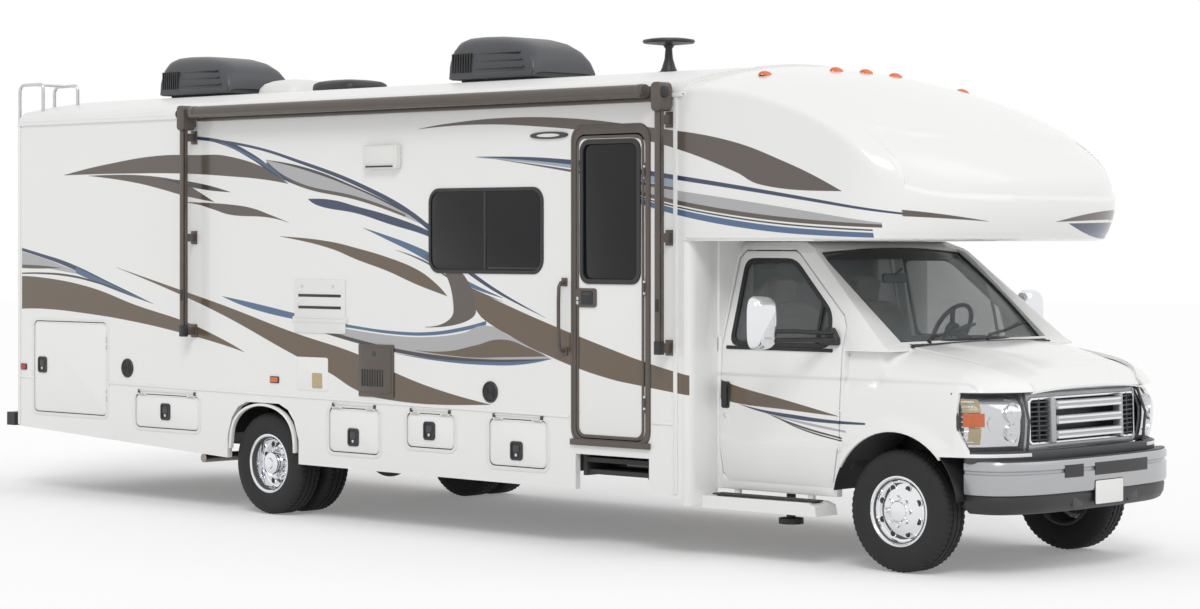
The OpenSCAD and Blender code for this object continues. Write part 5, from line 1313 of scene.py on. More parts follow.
# ------------------------------------------------------------------------ cab
def smooth_line(points, count):
    """A smooth line of evenly spaced points through a few."""
    spots = np.array(points, float)
    ends = np.vstack([2 * spots[0] - spots[1], spots, 2 * spots[-1] - spots[-2]])
    fine = []
    for i in range(1, len(ends) - 2):
        a, b, c, d = ends[i - 1:i + 3]
        for t in np.linspace(0.0, 1.0, 12, endpoint=False):
            fine.append(0.5 * (2 * b + (c - a) * t + (2 * a - 5 * b + 4 * c - d) * t ** 2
                + (3 * b - a - 3 * c + d) * t ** 3))
    fine = np.array(fine + [spots[-1]])
    run = np.concatenate([[0.0], np.cumsum(np.linalg.norm(np.diff(fine, axis=0), axis=1))])
    at = np.linspace(0.0, run[-1], count)
    return np.stack([np.interp(at, run, fine[:, k]) for k in range(fine.shape[1])], axis=1)


def inset(points, distance):
    """A convex outline drawn in, or out for a negative distance."""
    spots = [Vector(p) for p in points]
    area = sum(a.x * b.y - b.x * a.y for a, b in zip(spots, spots[1:] + spots[:1]))
    turn = 1.0 if area > 0 else -1.0
    lines = []
    for a, b in zip(spots, spots[1:] + spots[:1]):
        way = (b - a).normalized()
        normal = Vector((-way.y, way.x)) * turn
        lines.append((a + normal * distance, way))
    result = []
    for (p, d), (q, e) in zip(lines[-1:] + lines[:-1], lines):
        cross = d.x * e.y - d.y * e.x
        t = ((q - p).x * e.y - (q - p).y * e.x) / cross
        result.append(tuple(p + d * t))
    return result


def round_corners(points, r, steps=5):
    """An outline with its corners rounded."""
    spots = [Vector(p) for p in points]
    result = []
    for before, corner, after in zip(spots[-1:] + spots[:-1], spots, spots[1:] + spots[:1]):
        a, b = (before - corner), (after - corner)
        reach = min(r, a.length * 0.45, b.length * 0.45)
        start, end = corner + a.normalized() * reach, corner + b.normalized() * reach
        for i in range(steps + 1):
            t = i / steps
            result.append(tuple(start * (1 - t) ** 2 + corner * 2 * t * (1 - t) + end * t ** 2))
    return result


BELT_Z = 1.345


def lean(piece, side):
    """Leans what is above the belt inwards, as the cab's glass does."""
    for vertex in piece.data.vertices:
        vertex.co.y -= side * 0.3017 * max(0.0, vertex.co.z - BELT_Z)
    return piece


NOSE_TOP = ((-0.44, 1.385), (-0.06, 1.368), (0.19, 1.335), (0.44, 1.288), (0.6, 1.232), (0.7, 1.172),
    (0.76, 1.1))
NOSE_PLAN = ((-0.44, 1.01), (0.35, 1.01), (0.46, 1.002), (0.54, 0.972), (0.62, 0.9), (0.69, 0.79),
    (0.735, 0.66), (0.745, 0.6))
FENDER = ((0.985, 0.44), (1.004, 0.56), (1.01, 0.72), (1.01, 0.93), (1.0, 1.07), (0.974, 1.175),
    (0.92, 1.252), (0.842, 1.304), (0.742, 1.338))


NOSE_LINE = smooth_line(NOSE_TOP, 80)


def nose_top(x):
    """Height of the nose on its middle line."""
    return float(np.interp(x - AXLE_X, NOSE_LINE[:, 0], NOSE_LINE[:, 1]))


def arch_line(radius):
    """The front wheel opening's outline, open at its foot."""
    turns = [radians(a) for a in range(-20, 201, 6)]
    return [(AXLE_X + radius * cos(t), 0.395 + radius * sin(t)) for t in turns] + [(3.6, 0.2), (4.52, 0.2)]


def build_cab_body():
    cell = node_copy("cab_body")
    clear_selection()
    bpy.ops.mesh.primitive_cube_add(size=1, location=(4.3, 0, 0.835), scale=(1.29, 2.3, 1.0))
    cutter = new_piece()
    cut(cell, cutter)
    for side in (-1, 1):
        cut(cell, outline(arch_line(0.47), "y", side * 0.6, side * 1.3, "black", 0.0))
    painted(soften(cell, 0.007, 3, 25.0), "cab")
    parts = [cell]
    section = smooth_line(FENDER, 44)
    plan = smooth_line(NOSE_PLAN, 80)
    stations = np.concatenate([np.linspace(3.652, 4.45, 46), np.linspace(4.465, 4.795, 26)])
    for side in (-1, 1):
        rows = []
        for x in stations:
            wide = float(np.interp(x - AXLE_X, plan[:, 0], plan[:, 1])) / 1.01
            top = nose_top(x)
            row = []
            for y, z in section:
                if z > 0.93:
                    z = 0.93 + (z - 0.93) * (top - 0.93) / (1.362 - 0.93)
                full = max(0.0, min(1.0, (4.0 - x) / 0.1)) * max(0.0, min(1.0, (z - 1.1) / 0.1))
                yy = max(0.6, y * wide + (0.955 - y) * full * 0.85)
                reach = hypot(x - AXLE_X, z - WHEEL_Z)
                flare = 0.03 / (1.0 + exp((reach - 0.535) / 0.012)) if z > 0.4 else 0.0
                flare *= min(1.0, max(0.0, (1.12 - z) / 0.15)) * min(1.0, max(0.0, (4.62 - x) / 0.1))
                row.append((x, side * (yy + flare), z))
            rows.append(row)
        skin = loft(rows, "cab")
        modify(skin, "SOLIDIFY", thickness=0.022, offset=-1.0 if side > 0 else 1.0)
        edit(skin)
        leave_edit()
        lamp = [(4.505, 1.108), (4.505, 0.905), (4.58, 0.745), (4.95, 0.745), (4.95, 1.108)]
        for cutter in (outline(arch_line(0.462), "y", side * 0.45, side * 1.3, "black", 0.0),
                outline(lamp, "y", side * 0.55, side * 1.2, "black", 0.0),
                block(4.4, 4.95, side * 0.45, side * 1.2, 0.3, 0.724, "black", 0.0)):
            cut(skin, cutter)
        parts.append(painted(soften(skin, 0.003, 2, 50.0), "cab"))
        liner = []
        for a in range(8, 173, 6):
            c, s = cos(radians(a)), sin(radians(a))
            liner.append([(AXLE_X + 0.47 * c, side * yy, 0.395 + 0.47 * s) for yy in (1.02, 0.9, 0.76, 0.62,
                0.56)])
        parts.append(loft(liner, "black", 0.004, 0.0))
        parts.append(block(2.6, 2.66, side * 0.93, side * 1.004, 0.43, 1.4, "cab", 0.006))
        parts.append(block(2.6, 2.648, side * 0.66, side * 1.004, 1.3, 2.012, "cab", 0.006))
        parts.append(outline([(2.64, 0.434), (3.578, 0.434), (3.578, 0.52), (2.64, 0.52)], "y", side * 0.93,
            side * 0.99, "cab", 0.006))
    fit(parts, "cab_shell", "coach", ("cab_body",), 32.0)

    front = []
    # A dark grey band round the front, under the headlamps and grille and over the bumper: painted shade
    # that fills the gap there.
    plan_low = [(x + AXLE_X, y) for x, y in smooth_line(((0.5, 0.985), (0.56, 0.95), (0.63, 0.88),
        (0.69, 0.78), (0.73, 0.64), (0.75, 0.3)), 20)]
    ring = plan_low + [(x, -y) for x, y in reversed(plan_low)]
    inner = [(x - 0.05, y * 0.95) for x, y in ring]
    front.append(outline(ring + inner[::-1], "z", 0.69, 0.752, "dark", 0.008, 3))
    rows = []
    for t in np.linspace(0.0, 1.0, 6):
        x = 3.852 + 0.137 * t
        rows.append([(x - 0.04 * (y / 0.86) ** 2 * (1 - t), y,
            1.35 + 0.02 * t - 0.03 * (abs(y) / 0.9) ** 3) for y in np.linspace(-0.742, 0.742, 31)])
    front.append(loft(rows, "black", 0.012, -1.0))
    for i in range(26):
        y = -0.7 + 0.056 * i
        front.append(block(3.905, 3.975, y - 0.016, y + 0.016, 1.358, 1.3745, "black", 0.004))
    for y0, y1 in ((-0.5, 0.1), (0.12, 0.66)):
        base = (3.93, y0, 1.385)
        tip = (3.795, y1, 1.478)
        middle = (3.872, (y0 + y1) / 2, 1.432)
        front.append(pipe([base, (3.905, y0 + 0.06, 1.408), middle, tip], 0.0065, "black"))
        front.append(knob(0.018, 0.03, 0.012, 0.036, (base[0], base[1], 1.358), "z", "black"))
        front.append(pipe([(3.876, y0 + 0.1, 1.412), middle, (3.78, y1 + 0.1, 1.475)], 0.0085, "rubber",
            sides=2))
    fit(front, "cowl_and_wipers", "coach", (), 40.0)


def build_hood():
    profile = smooth_line(((0.0, 1.3715), (0.25, 1.35), (0.5, 1.316), (0.7, 1.272), (0.82, 1.232),
        (0.9, 1.196), (0.95, 1.166), (0.985, 1.138), (1.0, 1.114)), 44)
    rows = []
    for s, z in profile:
        row = []
        for y in np.linspace(-0.733, 0.733, 57):
            far = abs(y)
            front = 4.782 - 0.018 * (far / 0.6) ** 2 - (0.055 * ((far - 0.6) / 0.133) ** 2
                if far > 0.6 else 0.0)
            x = 3.994 + s * (front - 3.994)
            drop = 0.04 * (far / 0.735) ** 2.6
            ridge_y = 0.46 - 0.1 * s
            rise = 0.015 / (1.0 + exp((far - ridge_y) / 0.012)) * min(1.0, s / 0.08) * min(1.0,
                (1.0 - s) / 0.15)
            height = z - drop * min(1.0, 0.35 + s) * (1.0 - 0.7 * float(ease(s, 0.55, 0.95))) + rise
            row.append((x, float(y), max(height, 1.114 + 0.012 * (1.0 - s)) if far > 0.58 else height))
        rows.append(row)
    skin = loft(rows, "cab")
    edit(skin)
    leave_edit()
    if sum(f.normal.z for f in skin.data.polygons) < 0:
        edit(skin)
        bpy.ops.mesh.flip_normals()
        leave_edit(outward=False)
    modify(skin, "SOLIDIFY", thickness=0.02, offset=-1.0)
    edit(skin)
    leave_edit()
    painted(soften(skin, 0.004, 2, 60.0), "cab")
    lip = []
    for y in np.linspace(-0.6, 0.6, 31):
        lip.append((4.781 - 0.018 * (abs(y) / 0.6) ** 2, float(y), 1.121 - 0.04 * (abs(y) / 0.735) ** 2.6))
    strip = pipe(lip, 0.0075, "chrome")
    fit([skin, strip], "hood_panel", "hood_lid", ("hood",), 32.0)


def build_windscreen():
    surface = Surface("screen_glass", (0.2, 0.23, 0.24), 0.02, coat_weight=0.3)
    border = surface.y.math("ABSOLUTE").over(0.735, 0.006)
    border = border.math("MAXIMUM", surface.z.over(1.892, 0.008)).math("MAXIMUM",
        surface.z.under(1.392, 0.008))
    shade = surface.mix(border, (0.2, 0.23, 0.24, 1.0), (0.012, 0.012, 0.013, 1.0))
    surface.feed("Base Color", shade)
    surface.feed("Alpha", border * 0.7 + surface.noise(1.5) * 0.02 + 0.28)
    rows = []
    for t in np.linspace(0.0, 1.0, 16):
        x0, z0 = 3.893 - 0.655 * t, 1.357 + 0.567 * t
        bow = 0.02 * sin(pi * t)
        half = 0.778 - 0.02 * t
        rows.append([(x0 + bow * 0.65 + 0.034 * (1 - (y / half) ** 2), float(y),
            z0 + bow * 0.75 + 0.03 * (1 - (y / half) ** 2)) for y in np.linspace(-half, half, 33)])
    pane = loft(rows, surface.material, 0.006, 0.0)
    fit(pane, "windscreen_pane", "coach", ("windscreen",), 60.0)
    edge = rows[0] + [row[-1] for row in rows[1:]] + rows[-1][-2::-1] + [row[0] for row in rows[-2:0:-1]]
    seal = pipe(edge, 0.011, "rubber", closed=True)
    mirror = [outline(rounded(-0.12, 0.12, 1.735, 1.8, 0.022), "x", 3.27, 3.295, "dark", 0.006),
        pipe([(3.29, 0, 1.79), (3.345, 0, 1.83)], 0.008, "dark")]
    fit([seal] + mirror, "windscreen_seal", "coach", (), 60.0)


DOOR_GLASS = ((2.737, 1.36), (3.523, 1.36), (3.495, 1.56), (3.125, 1.885), (2.737, 1.885))


def build_cab_doors(sizes):
    for side, word in SIDES:
        node, body = f"cab_door_{word}", f"{word}_cab_door"
        panel = node_copy(node)
        painted(soften(panel, 0.006, 3, 28.0), "cab")
        parts = [panel]
        y = side * 0.986
        outer = round_corners(inset(DOOR_GLASS, -0.016), 0.075, 6)
        inner = round_corners(inset(DOOR_GLASS, 0.012), 0.06, 6)
        parts.append(lean(rim(outer, inner, "y", y - side * 0.014, y + side * 0.006, "rubber", 0.003),
            side))
        parts.append(lean(block(3.405, 3.425, y - side * 0.01, y + side * 0.003, 1.372, 1.615, "rubber",
            0.002), side))
        # belt moulding, handle and lock
        parts.append(block(2.7, 3.56, side * 0.985, side * 0.997, 1.322, 1.344, "rubber", 0.004))
        hy = side * 1.01
        parts.append(outline(rounded(2.672, 2.742, 0.945, 1.115, 0.016), "y", hy - side * 0.004,
            hy + side * 0.004, "black", 0.003))
        parts.append(outline(rounded(2.686, 2.728, 0.962, 1.098, 0.014), "y", hy, hy + side * 0.022,
            "black", 0.007, 3))
        parts.append(knob(0.015, 0.006, 0.01, 0.008, (2.706, hy - side * 0.001, 0.9), "y", "chrome", 20,
            side))
        fit(parts, f"cab_door_panel_{word}", body, (node,), 32.0)
        carry("glass", f"door_glass_{word}")

        head = []
        mz = sizes.mirror_height
        mx, y0, y1 = 3.368, side * 1.312, side * 1.548
        lo, hi = sorted((y0, y1))

        def level(x, wide, tall):
            return [(x, (lo + hi) / 2 + (hi - lo) / 2 * wide * a, mz + 0.165 * tall * b) for a,
                b in unit_loop(44, 0.5)]

        rows = [level(mx + 0.046, 0.0, 0.0)]
        for k in range(9):
            t = radians(90 * k / 8)
            grow = 0.35 + 0.65 * sin(t) ** 0.55
            rows.append(level(mx + 0.045 - 0.075 * (1 - cos(t)), grow, grow))
        rows += [level(mx - 0.038, 0.93, 0.94), level(mx - 0.038, 0.0, 0.0)]
        head.append(loft(rows, "chrome"))
        head.append(outline(rounded(lo + 0.016, hi - 0.016, mz - 0.148, mz + 0.148, 0.04), "x", mx - 0.034,
            mx - 0.042, "black", 0.003))
        head.append(outline(rounded(lo + 0.024, hi - 0.024, mz - 0.035, mz + 0.14, 0.03), "x", mx - 0.04,
            mx - 0.0445, "chrome", 0.001))
        head.append(outline(rounded(lo + 0.024, hi - 0.024, mz - 0.14, mz - 0.048, 0.026), "x", mx - 0.04,
            mx - 0.0445, "chrome", 0.001))
        for z, dz in ((1.402, 0.0), (1.446, 0.01)):
            head.append(pipe([(3.585, side * 1.004, z), (3.53, side * 1.09, z), (3.45, side * 1.24, z + dz),
                (3.395, side * 1.37, z + dz)], 0.0145, "black", sides=4))
        head.append(outline([(3.515, 1.366), (3.612, 1.366), (3.612, 1.41), (3.57, 1.476), (3.515, 1.476)],
            "y", side * 0.972, side * 1.018, "black", 0.01, 3))
        fit(head, f"mirror_head_{word}", body, (f"mirror_{word}",), 45.0)


def build_cab_front():
    # headlamps
    parts = []
    line = smooth_line(((0.463, 1.0), (0.53, 0.975), (0.6, 0.91), (0.665, 0.815), (0.705, 0.715),
        (0.722, 0.64)), 26)
    for side in (-1, 1):
        def sheet(depth, z0, z1, material, first=0, last=26, steps=6):
            rows = []
            for z in np.linspace(z0, z1, steps):
                back = depth + 0.03 * ((z - 0.936) / 0.17) ** 2 + (0.055 if z > 1.0
                    else 0.0) * (z - 1.0) / 0.1
                rows.append([(AXLE_X + x - back * 0.75, side * (y - back * 0.35), float(z)) for x,
                    y in line[first:last]])
            return loft(rows, material, 0.004, 0.0)
        parts.append(sheet(0.062, 0.752, 1.102, "dark"))
        parts.append(sheet(0.05, 0.784, 1.072, "chrome", 3, 24, 8))
        parts.append(sheet(0.022, 0.905, 0.985, "amber", 2, 10, 4))
        parts.append(sheet(0.026, 0.99, 1.068, "tan", 2, 9, 4))
        parts.append(sheet(0.026, 0.8, 0.898, "tan", 4, 9, 4))
        for k, r, z, back in ((19, 0.058, 0.985, 0.042), (19, 0.052, 0.862, 0.042),
                (13, 0.046, 0.922, 0.066)):
            x, y = line[k]
            cx, cy = AXLE_X + x - back, side * (y - 0.02)
            parts.append(lathe([(0.0, 0.0), (0.016, 0.002), (r * 0.75, 0.02), (r, 0.042),
                (r + 0.004, 0.042), (r * 0.8, 0.012), (0.0, -0.008)], (cx - 0.03, cy, z), "x", "chrome",
                28))
            parts.append(lathe([(0.0, 0.0), (0.014, 0.0), (0.014, 0.024), (0.008, 0.032), (0.0, 0.034)],
                (cx - 0.026, cy, z), "x", "white", 16))
        for z in np.linspace(0.815, 1.055, 9):
            parts.append(pipe([(AXLE_X + x - 0.03, side * (y - 0.012), float(z)) for x, y in line[2:7]],
                0.0035, "chrome", sides=1))
        for z in (0.75, 1.104):
            back = 0.03 + (0.057 if z > 1 else 0.0)
            parts.append(pipe([(AXLE_X + x - back * 0.72, side * (y - back * 0.33), z) for x, y in line],
                0.0085, "dark"))
        for k in (0, 25):
            x, y = line[k]
            parts.append(pipe([(AXLE_X + x - 0.02, side * (y - 0.008), 0.75),
                (AXLE_X + x - 0.004, side * (y - 0.002), 0.936),
                (AXLE_X + x - 0.062, side * (y - 0.02), 1.104)], 0.009, "dark"))
        parts.append(sheet(0.0, 0.75, 1.104, "lens", 0, 26, 10))
    fit(parts, "headlamp_pair", "coach", (), 45.0)

    # grille
    parts = [outline(rounded(-0.585, 0.585, 0.772, 1.09, 0.03), "x", 4.715, 4.735, "black", 0.003)]
    inner = (-0.57, 0.57, 0.792, 1.062)
    parts += [rim(rounded(-0.618, 0.618, 0.748, 1.108, 0.05, 8), rounded(*inner, 0.03, 8), "x", 4.722,
        4.776, "silver", 0.01), rim(rounded(*inner, 0.036, 8, 0.008), rounded(*inner, 0.024, 8, -0.008),
        "x", 4.76, 4.784, "chrome", 0.004)]
    for side in (-1, 1):
        parts.append(block(4.73, 4.79, side * 0.35, side * 0.392, 0.79, 1.064, "silver", 0.01, 3))
        for i in range(9):
            z = 0.812 + 0.0285 * i
            parts.append(block(4.732, 4.772, side * 0.395, side * 0.565, z - 0.0045, z + 0.0045, "dark",
                0.002))
        parts.append(block(4.732, 4.774, side * 0.475, side * 0.485, 0.795, 1.06, "dark", 0.002))
    for z in (0.838, 0.928, 1.018):
        parts.append(block(4.732, 4.792, -0.352, 0.352, z - 0.027, z + 0.027, "silver", 0.009, 3))
        for low in (z + 0.008, z - 0.022):
            parts.append(block(4.788, 4.797, -0.345, 0.345, low, low + 0.014, "chrome", 0.003))
    for piece in parts:
        for vertex in piece.data.vertices:
            vertex.co.x += 0.012 - 0.075 * (abs(vertex.co.y) / 0.62) ** 2.2 - 0.1 * max(0.0,
                vertex.co.z - 0.98)
    fit(parts, "front_grille", "coach", ("grille",), 40.0)

    # bumper
    line = smooth_line(((0.47, 0.955), (0.6, 0.95), (0.7, 0.9), (0.775, 0.79), (0.828, 0.62), (0.852, 0.4),
        (0.862, 0.2), (0.864, 0.0)), 40)
    path = [(AXLE_X + x, y) for x, y in line] + [(AXLE_X + x, -y) for x, y in line[::-1][1:]]

    def sweep(section, material, first=0, last=None):
        spots = path[first:last]
        rows = []
        for i, (x, y) in enumerate(spots):
            xa, ya = spots[max(0, i - 1)]
            xb, yb = spots[min(len(spots) - 1, i + 1)]
            way = Vector((xb - xa, yb - ya)).normalized()
            out = Vector((-way.y, way.x))
            if out.x < 0 and abs(y) < 0.9:
                out = -out
            if abs(y) >= 0.9 and out.y * y < 0:
                out = -out
            rows.append([(x + out.x * o, y + out.y * o, z) for o, z in section + section[:1]])
        for end in (0, -1):
            middle = tuple(sum(p[k] for p in rows[end][:-1]) / len(section) for k in range(3))
            rows.insert(0 if end == 0 else len(rows), [middle] * (len(section) + 1))
        return loft(rows, material)
    upper = [(-0.075, 0.7), (-0.03, 0.704), (-0.008, 0.698), (0.0, 0.684), (0.0, 0.648), (-0.01, 0.64),
        (-0.01, 0.628), (0.0, 0.62), (0.0, 0.52), (-0.006, 0.502), (-0.03, 0.496), (-0.075, 0.5)]
    parts = [sweep(upper, "silver")]
    lower = [(-0.08, 0.5), (-0.022, 0.5), (-0.014, 0.48), (-0.02, 0.43), (-0.04, 0.395), (-0.06, 0.384),
        (-0.085, 0.39)]
    parts.append(sweep(lower, "black"))
    pad = [(-0.07, 0.701), (-0.034, 0.707), (-0.014, 0.706), (-0.012, 0.7), (-0.07, 0.698)]
    parts.append(sweep(pad, "black", 8, -8))
    middle = len(path) // 2
    for first, last in ((middle + 9, middle + 16), (middle - 15, middle + 6)):
        slot = [(-0.004, 0.592), (0.0028, 0.592), (0.0028, 0.668), (-0.004, 0.668)]
        parts.append(sweep(slot, "black", first, last))
    for side in (-1, 1):
        parts.append(block(4.48, 4.86, side * 0.4, side * 0.47, 0.53, 0.62, "frame", 0.005))
        parts.append(outline(rounded(side * 0.3 - 0.055, side * 0.3 + 0.055, 0.405, 0.47, 0.02), "x", 4.872,
            4.896, "dark", 0.005))
    parts.append(outline(rounded(-0.155, 0.155, 0.41, 0.562, 0.014), "x", 4.914, 4.9215, "black", 0.002))
    parts.append(outline(rounded(-0.15, 0.15, 0.415, 0.557, 0.012), "x", 4.919, 4.924, "white", 0.001))
    fit(parts, "front_bumper_bar", "coach", ("front_bumper",), 35.0)
    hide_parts("lamps")


# --------------------------------------------------------------------- wheels
def tyre(y):
    r = 0.3715
    profile = [(0.204, -0.09), (0.218, -0.098), (0.232, -0.103), (0.262, -0.1105), (0.3, -0.111),
        (0.33, -0.105), (0.35, -0.097), (0.362, -0.088), (r, -0.074)]
    for g in (-0.042, 0.0, 0.042):
        profile += [(r + 0.0005, g - 0.006), (r - 0.009, g - 0.004), (r - 0.009, g + 0.004),
            (r + 0.0005, g + 0.006)]
    profile += [(a, -b) for a, b in reversed(profile[:9])]
    piece = lathe(profile, (0.0, y, 0.0), "y", "tyre", 180)
    for vertex in piece.data.vertices:
        co = vertex.co
        reach = hypot(co.x, co.z)
        step = round(degrees(atan2(co.z, co.x)) / 2)
        across = abs(co.y - y)
        if reach > 0.358 and across > 0.045 and step % 3 == 0:
            shrink = (reach - 0.007) / reach
            co.x, co.z = co.x * shrink, co.z * shrink
        elif reach > 0.366 and 0.008 < across < 0.04 and step % 4 == 0:
            shrink = (reach - 0.004) / reach
            co.x, co.z = co.x * shrink, co.z * shrink
    return piece


def ring_of(count, radius, make, offset=0.0):
    """Copies of a part round an axle."""
    turns = [2 * pi * (i + offset) / count for i in range(count)]
    return [make(radius * cos(a), radius * sin(a)) for a in turns]


def wheel_face(y, side, deep):
    """A polished wheel liner, its hub cap, lug nuts and hand holes, the holes as black discs of painted
    shade; out is away from the middle.
    """
    def face(profile, material, steps=64):
        return lathe([(r, side * o) for r, o in profile], (0.0, y, 0.0), "y", material, steps)
    if deep:
        dish = [(0.216, 0.086), (0.216, 0.098), (0.206, 0.1005), (0.197, 0.094), (0.191, 0.07),
            (0.187, 0.02), (0.18, 0.0), (0.168, -0.006), (0.118, 0.006), (0.104, 0.0), (0.092, 0.004),
            (0.086, 0.02), (0.084, 0.06), (0.078, 0.078), (0.066, 0.086), (0.0, 0.088), (0.0, 0.06),
            (0.07, 0.05), (0.078, -0.014), (0.185, -0.016), (0.2, 0.02), (0.202, 0.08)]
        hole_out, hole_r, lug_r, lug_out = 0.0, 0.145, 0.108, 0.002
    else:
        dish = [(0.216, 0.086), (0.216, 0.096), (0.206, 0.0985), (0.198, 0.092), (0.192, 0.076),
            (0.184, 0.062), (0.172, 0.058), (0.15, 0.066), (0.122, 0.084), (0.108, 0.09), (0.07, 0.092),
            (0.064, 0.096), (0.06, 0.104), (0.05, 0.109), (0.0, 0.1105), (0.0, 0.08), (0.1, 0.07),
            (0.16, 0.046), (0.186, 0.046), (0.202, 0.08)]
        hole_out, hole_r, lug_r, lug_out = 0.069, 0.148, 0.086, 0.091
    parts = [face(dish, "chrome")]
    barrel = [(0.2025, -0.096), (0.216, -0.096), (0.216, -0.088), (0.2035, -0.084), (0.2025, 0.088),
        (0.19, 0.088), (0.188, -0.08)]
    parts.append(face(barrel, "cast", 48))
    # The hand holes are not cut through: each is a black disc inside a chrome ring, painted shade for the
    # dark seen in the opening.
    parts += ring_of(8, hole_r, lambda x, z: outline(disc(x, z, 0.02, 20), "y",
        y + side * (hole_out - 0.004), y + side * (hole_out + 0.0035), "black", 0.002), 0.5)
    parts += ring_of(8, hole_r, lambda x, z: rim(disc(x, z, 0.0235, 20), disc(x, z, 0.0195, 20), "y",
        y + side * (hole_out - 0.006), y + side * (hole_out + 0.006), "chrome", 0.001), 0.5)
    parts += ring_of(8, lug_r, lambda x, z: lathe([(0, 0), (0.0135, 0), (0.013, side * 0.014),
        (0.01, side * 0.02), (0.0, side * 0.0225)], (x, y + side * lug_out, z), "y", "chrome", 12))
    if deep:
        parts.append(face([(0.0, 0.086), (0.04, 0.086), (0.036, 0.094), (0.0, 0.096)], "chrome", 32))
        parts.append(face([(0.0, -0.04), (0.19, -0.04), (0.19, -0.052), (0.0, -0.052)], "cast", 32))
    return parts


def shifted(piece, x):
    """Moves a new part from the axis to its axle."""
    piece.data.transform(Matrix.Translation((x, 0.0, WHEEL_Z)))
    return piece


def build_wheels():
    for side, word in SIDES:
        front = shifted(tyre(side * 0.88), AXLE_X)
        fit(front, f"front_{word}_tyre_tread", f"{word}_front_wheel",
            (f"front_{word}_tyre",), 30.0)
        face = join(wheel_face(side * 0.88, side, False))
        fit(shifted(face, AXLE_X), f"front_{word}_wheel_liner", f"{word}_front_wheel",
            (f"front_{word}_rim",), 35.0)
        pair = [shifted(tyre(side * 1.115), REAR_AXLE_X), shifted(tyre(side * 0.84), REAR_AXLE_X)]
        fit(pair, f"rear_{word}_tyre_pair", f"{word}_rear_wheels", (f"rear_{word}_tyres",),
            30.0)
        face = wheel_face(side * 1.115, side, True)
        inner = lathe([(0.2025, -0.096), (0.216, -0.096), (0.216, -0.088), (0.2035, -0.084),
            (0.2035, 0.084), (0.216, 0.088), (0.216, 0.096), (0.19, 0.094), (0.188, 0.06), (0.06, 0.06),
            (0.06, 0.045), (0.186, 0.045), (0.188, -0.09)], (0.0, side * 0.84, 0.0), "y", "cast", 48)
        face = join(face + [inner])
        fit(shifted(face, REAR_AXLE_X), f"rear_{word}_wheel_liners", f"{word}_rear_wheels",
            (f"rear_{word}_rims",), 35.0)


# --------------------------------------------------------- interior, underside
def cushion(centre, half, tilt, material, channels=0):
    """A crowned pad whose sides pull in between its corners."""
    clear_selection()
    bpy.ops.mesh.primitive_cube_add(size=2.0)
    piece = bpy.context.object
    edit(piece)
    bpy.ops.mesh.subdivide(number_cuts=15)
    leave_edit(outward=False)
    c, s = cos(tilt), sin(tilt)
    places = []
    for vertex in piece.data.vertices:
        p = vertex.co
        n = 5.5
        scale = (abs(p.x) ** n + abs(p.y) ** n + abs(p.z) ** n) ** (-1.0 / n) * max(abs(p.x), abs(p.y),
            abs(p.z))
        q = p * scale
        crown = 0.86 + 0.14 * (1 - q.x * q.x) * (1 - q.y * q.y) if abs(p.z) > 0.999 else 1.0
        x, y, z = q.x * half[0], q.y * half[1], q.z * half[2] * crown
        if channels:
            z *= 1.0 - 0.05 * exp(-((abs((q.y * channels) % 1.0 - 0.5)) / 0.08) ** 2)
        places.append((centre[0] + x * c + z * s, centre[1] + y, centre[2] - x * s + z * c))
    place(piece, places)
    modify(piece, "SUBSURF", levels=1, render_levels=1)
    return painted(piece, material)


def build_interior():
    for side, word in SIDES:
        y = side * 0.45
        seat = cushion((3.095, y, 0.915), (0.25, 0.24, 0.075), -0.05, "fabric", channels=2)
        fit(seat, f"seat_cushion_{word}", "coach", (), 60.0)
        back = cushion((2.765, y, 1.285), (0.075, 0.235, 0.33), 0.21 - pi, "fabric")
        fit(back, f"seat_back_{word}", "coach", (), 60.0)
        rest = cushion((2.69, y, 1.685), (0.045, 0.13, 0.085), 0.21 - pi, "fabric")
        fit(rest, f"seat_headrest_{word}", "coach", (), 60.0)
        base = [block(2.885, 3.285, y - 0.2, y + 0.2, 0.652, 0.85, "dash", 0.02, 3)]
        for dy in (-0.045, 0.045):
            base.append(pipe([(2.7, y + dy, 1.55), (2.692, y + dy, 1.66)], 0.007, "satin"))
        fit(base, f"seat_plinth_{word}", "coach", ("cab_seats",) if side > 0 else ())
    panel = node_copy("dashboard")
    painted(soften(panel, 0.018, 4, 20.0), "dash")
    parts = [panel]
    parts.append(outline(rounded(0.28, 0.64, 1.2, 1.335, 0.05), "x", 3.64, 3.7, "dash", 0.015, 3))
    for y in (-0.7, -0.3, 0.2, 0.72):
        parts.append(outline(rounded(y - 0.065, y + 0.065, 1.215, 1.275, 0.015), "x", 3.628, 3.66, "black",
            0.004))
    parts.append(outline(rounded(-0.14, 0.14, 1.09, 1.23, 0.015), "x", 3.622, 3.655, "black", 0.004))
    fit(parts, "dashboard_top", "coach", ("dashboard",), 40.0)
    carry("black", "steering_wheel")
    carry("carpet", "cab_floor")


def build_underside():
    carry("frame", "chassis_frame", "rear_bumper")
    carry("cast", "powertrain", "front_axle", "rear_axle", "leaf_springs", "knuckle_left", "knuckle_right")
    carry("steel", "exhaust")
    carry("grit", "entry_step")
    carry("shell", "running_boards")
    parts = []
    for side in (-1, 1):
        parts.append(block(2.7, 3.52, side * 1.03, side * 1.13, 0.402, 0.412, "grit", 0.002))
    fit(parts, "running_board_treads", "coach")


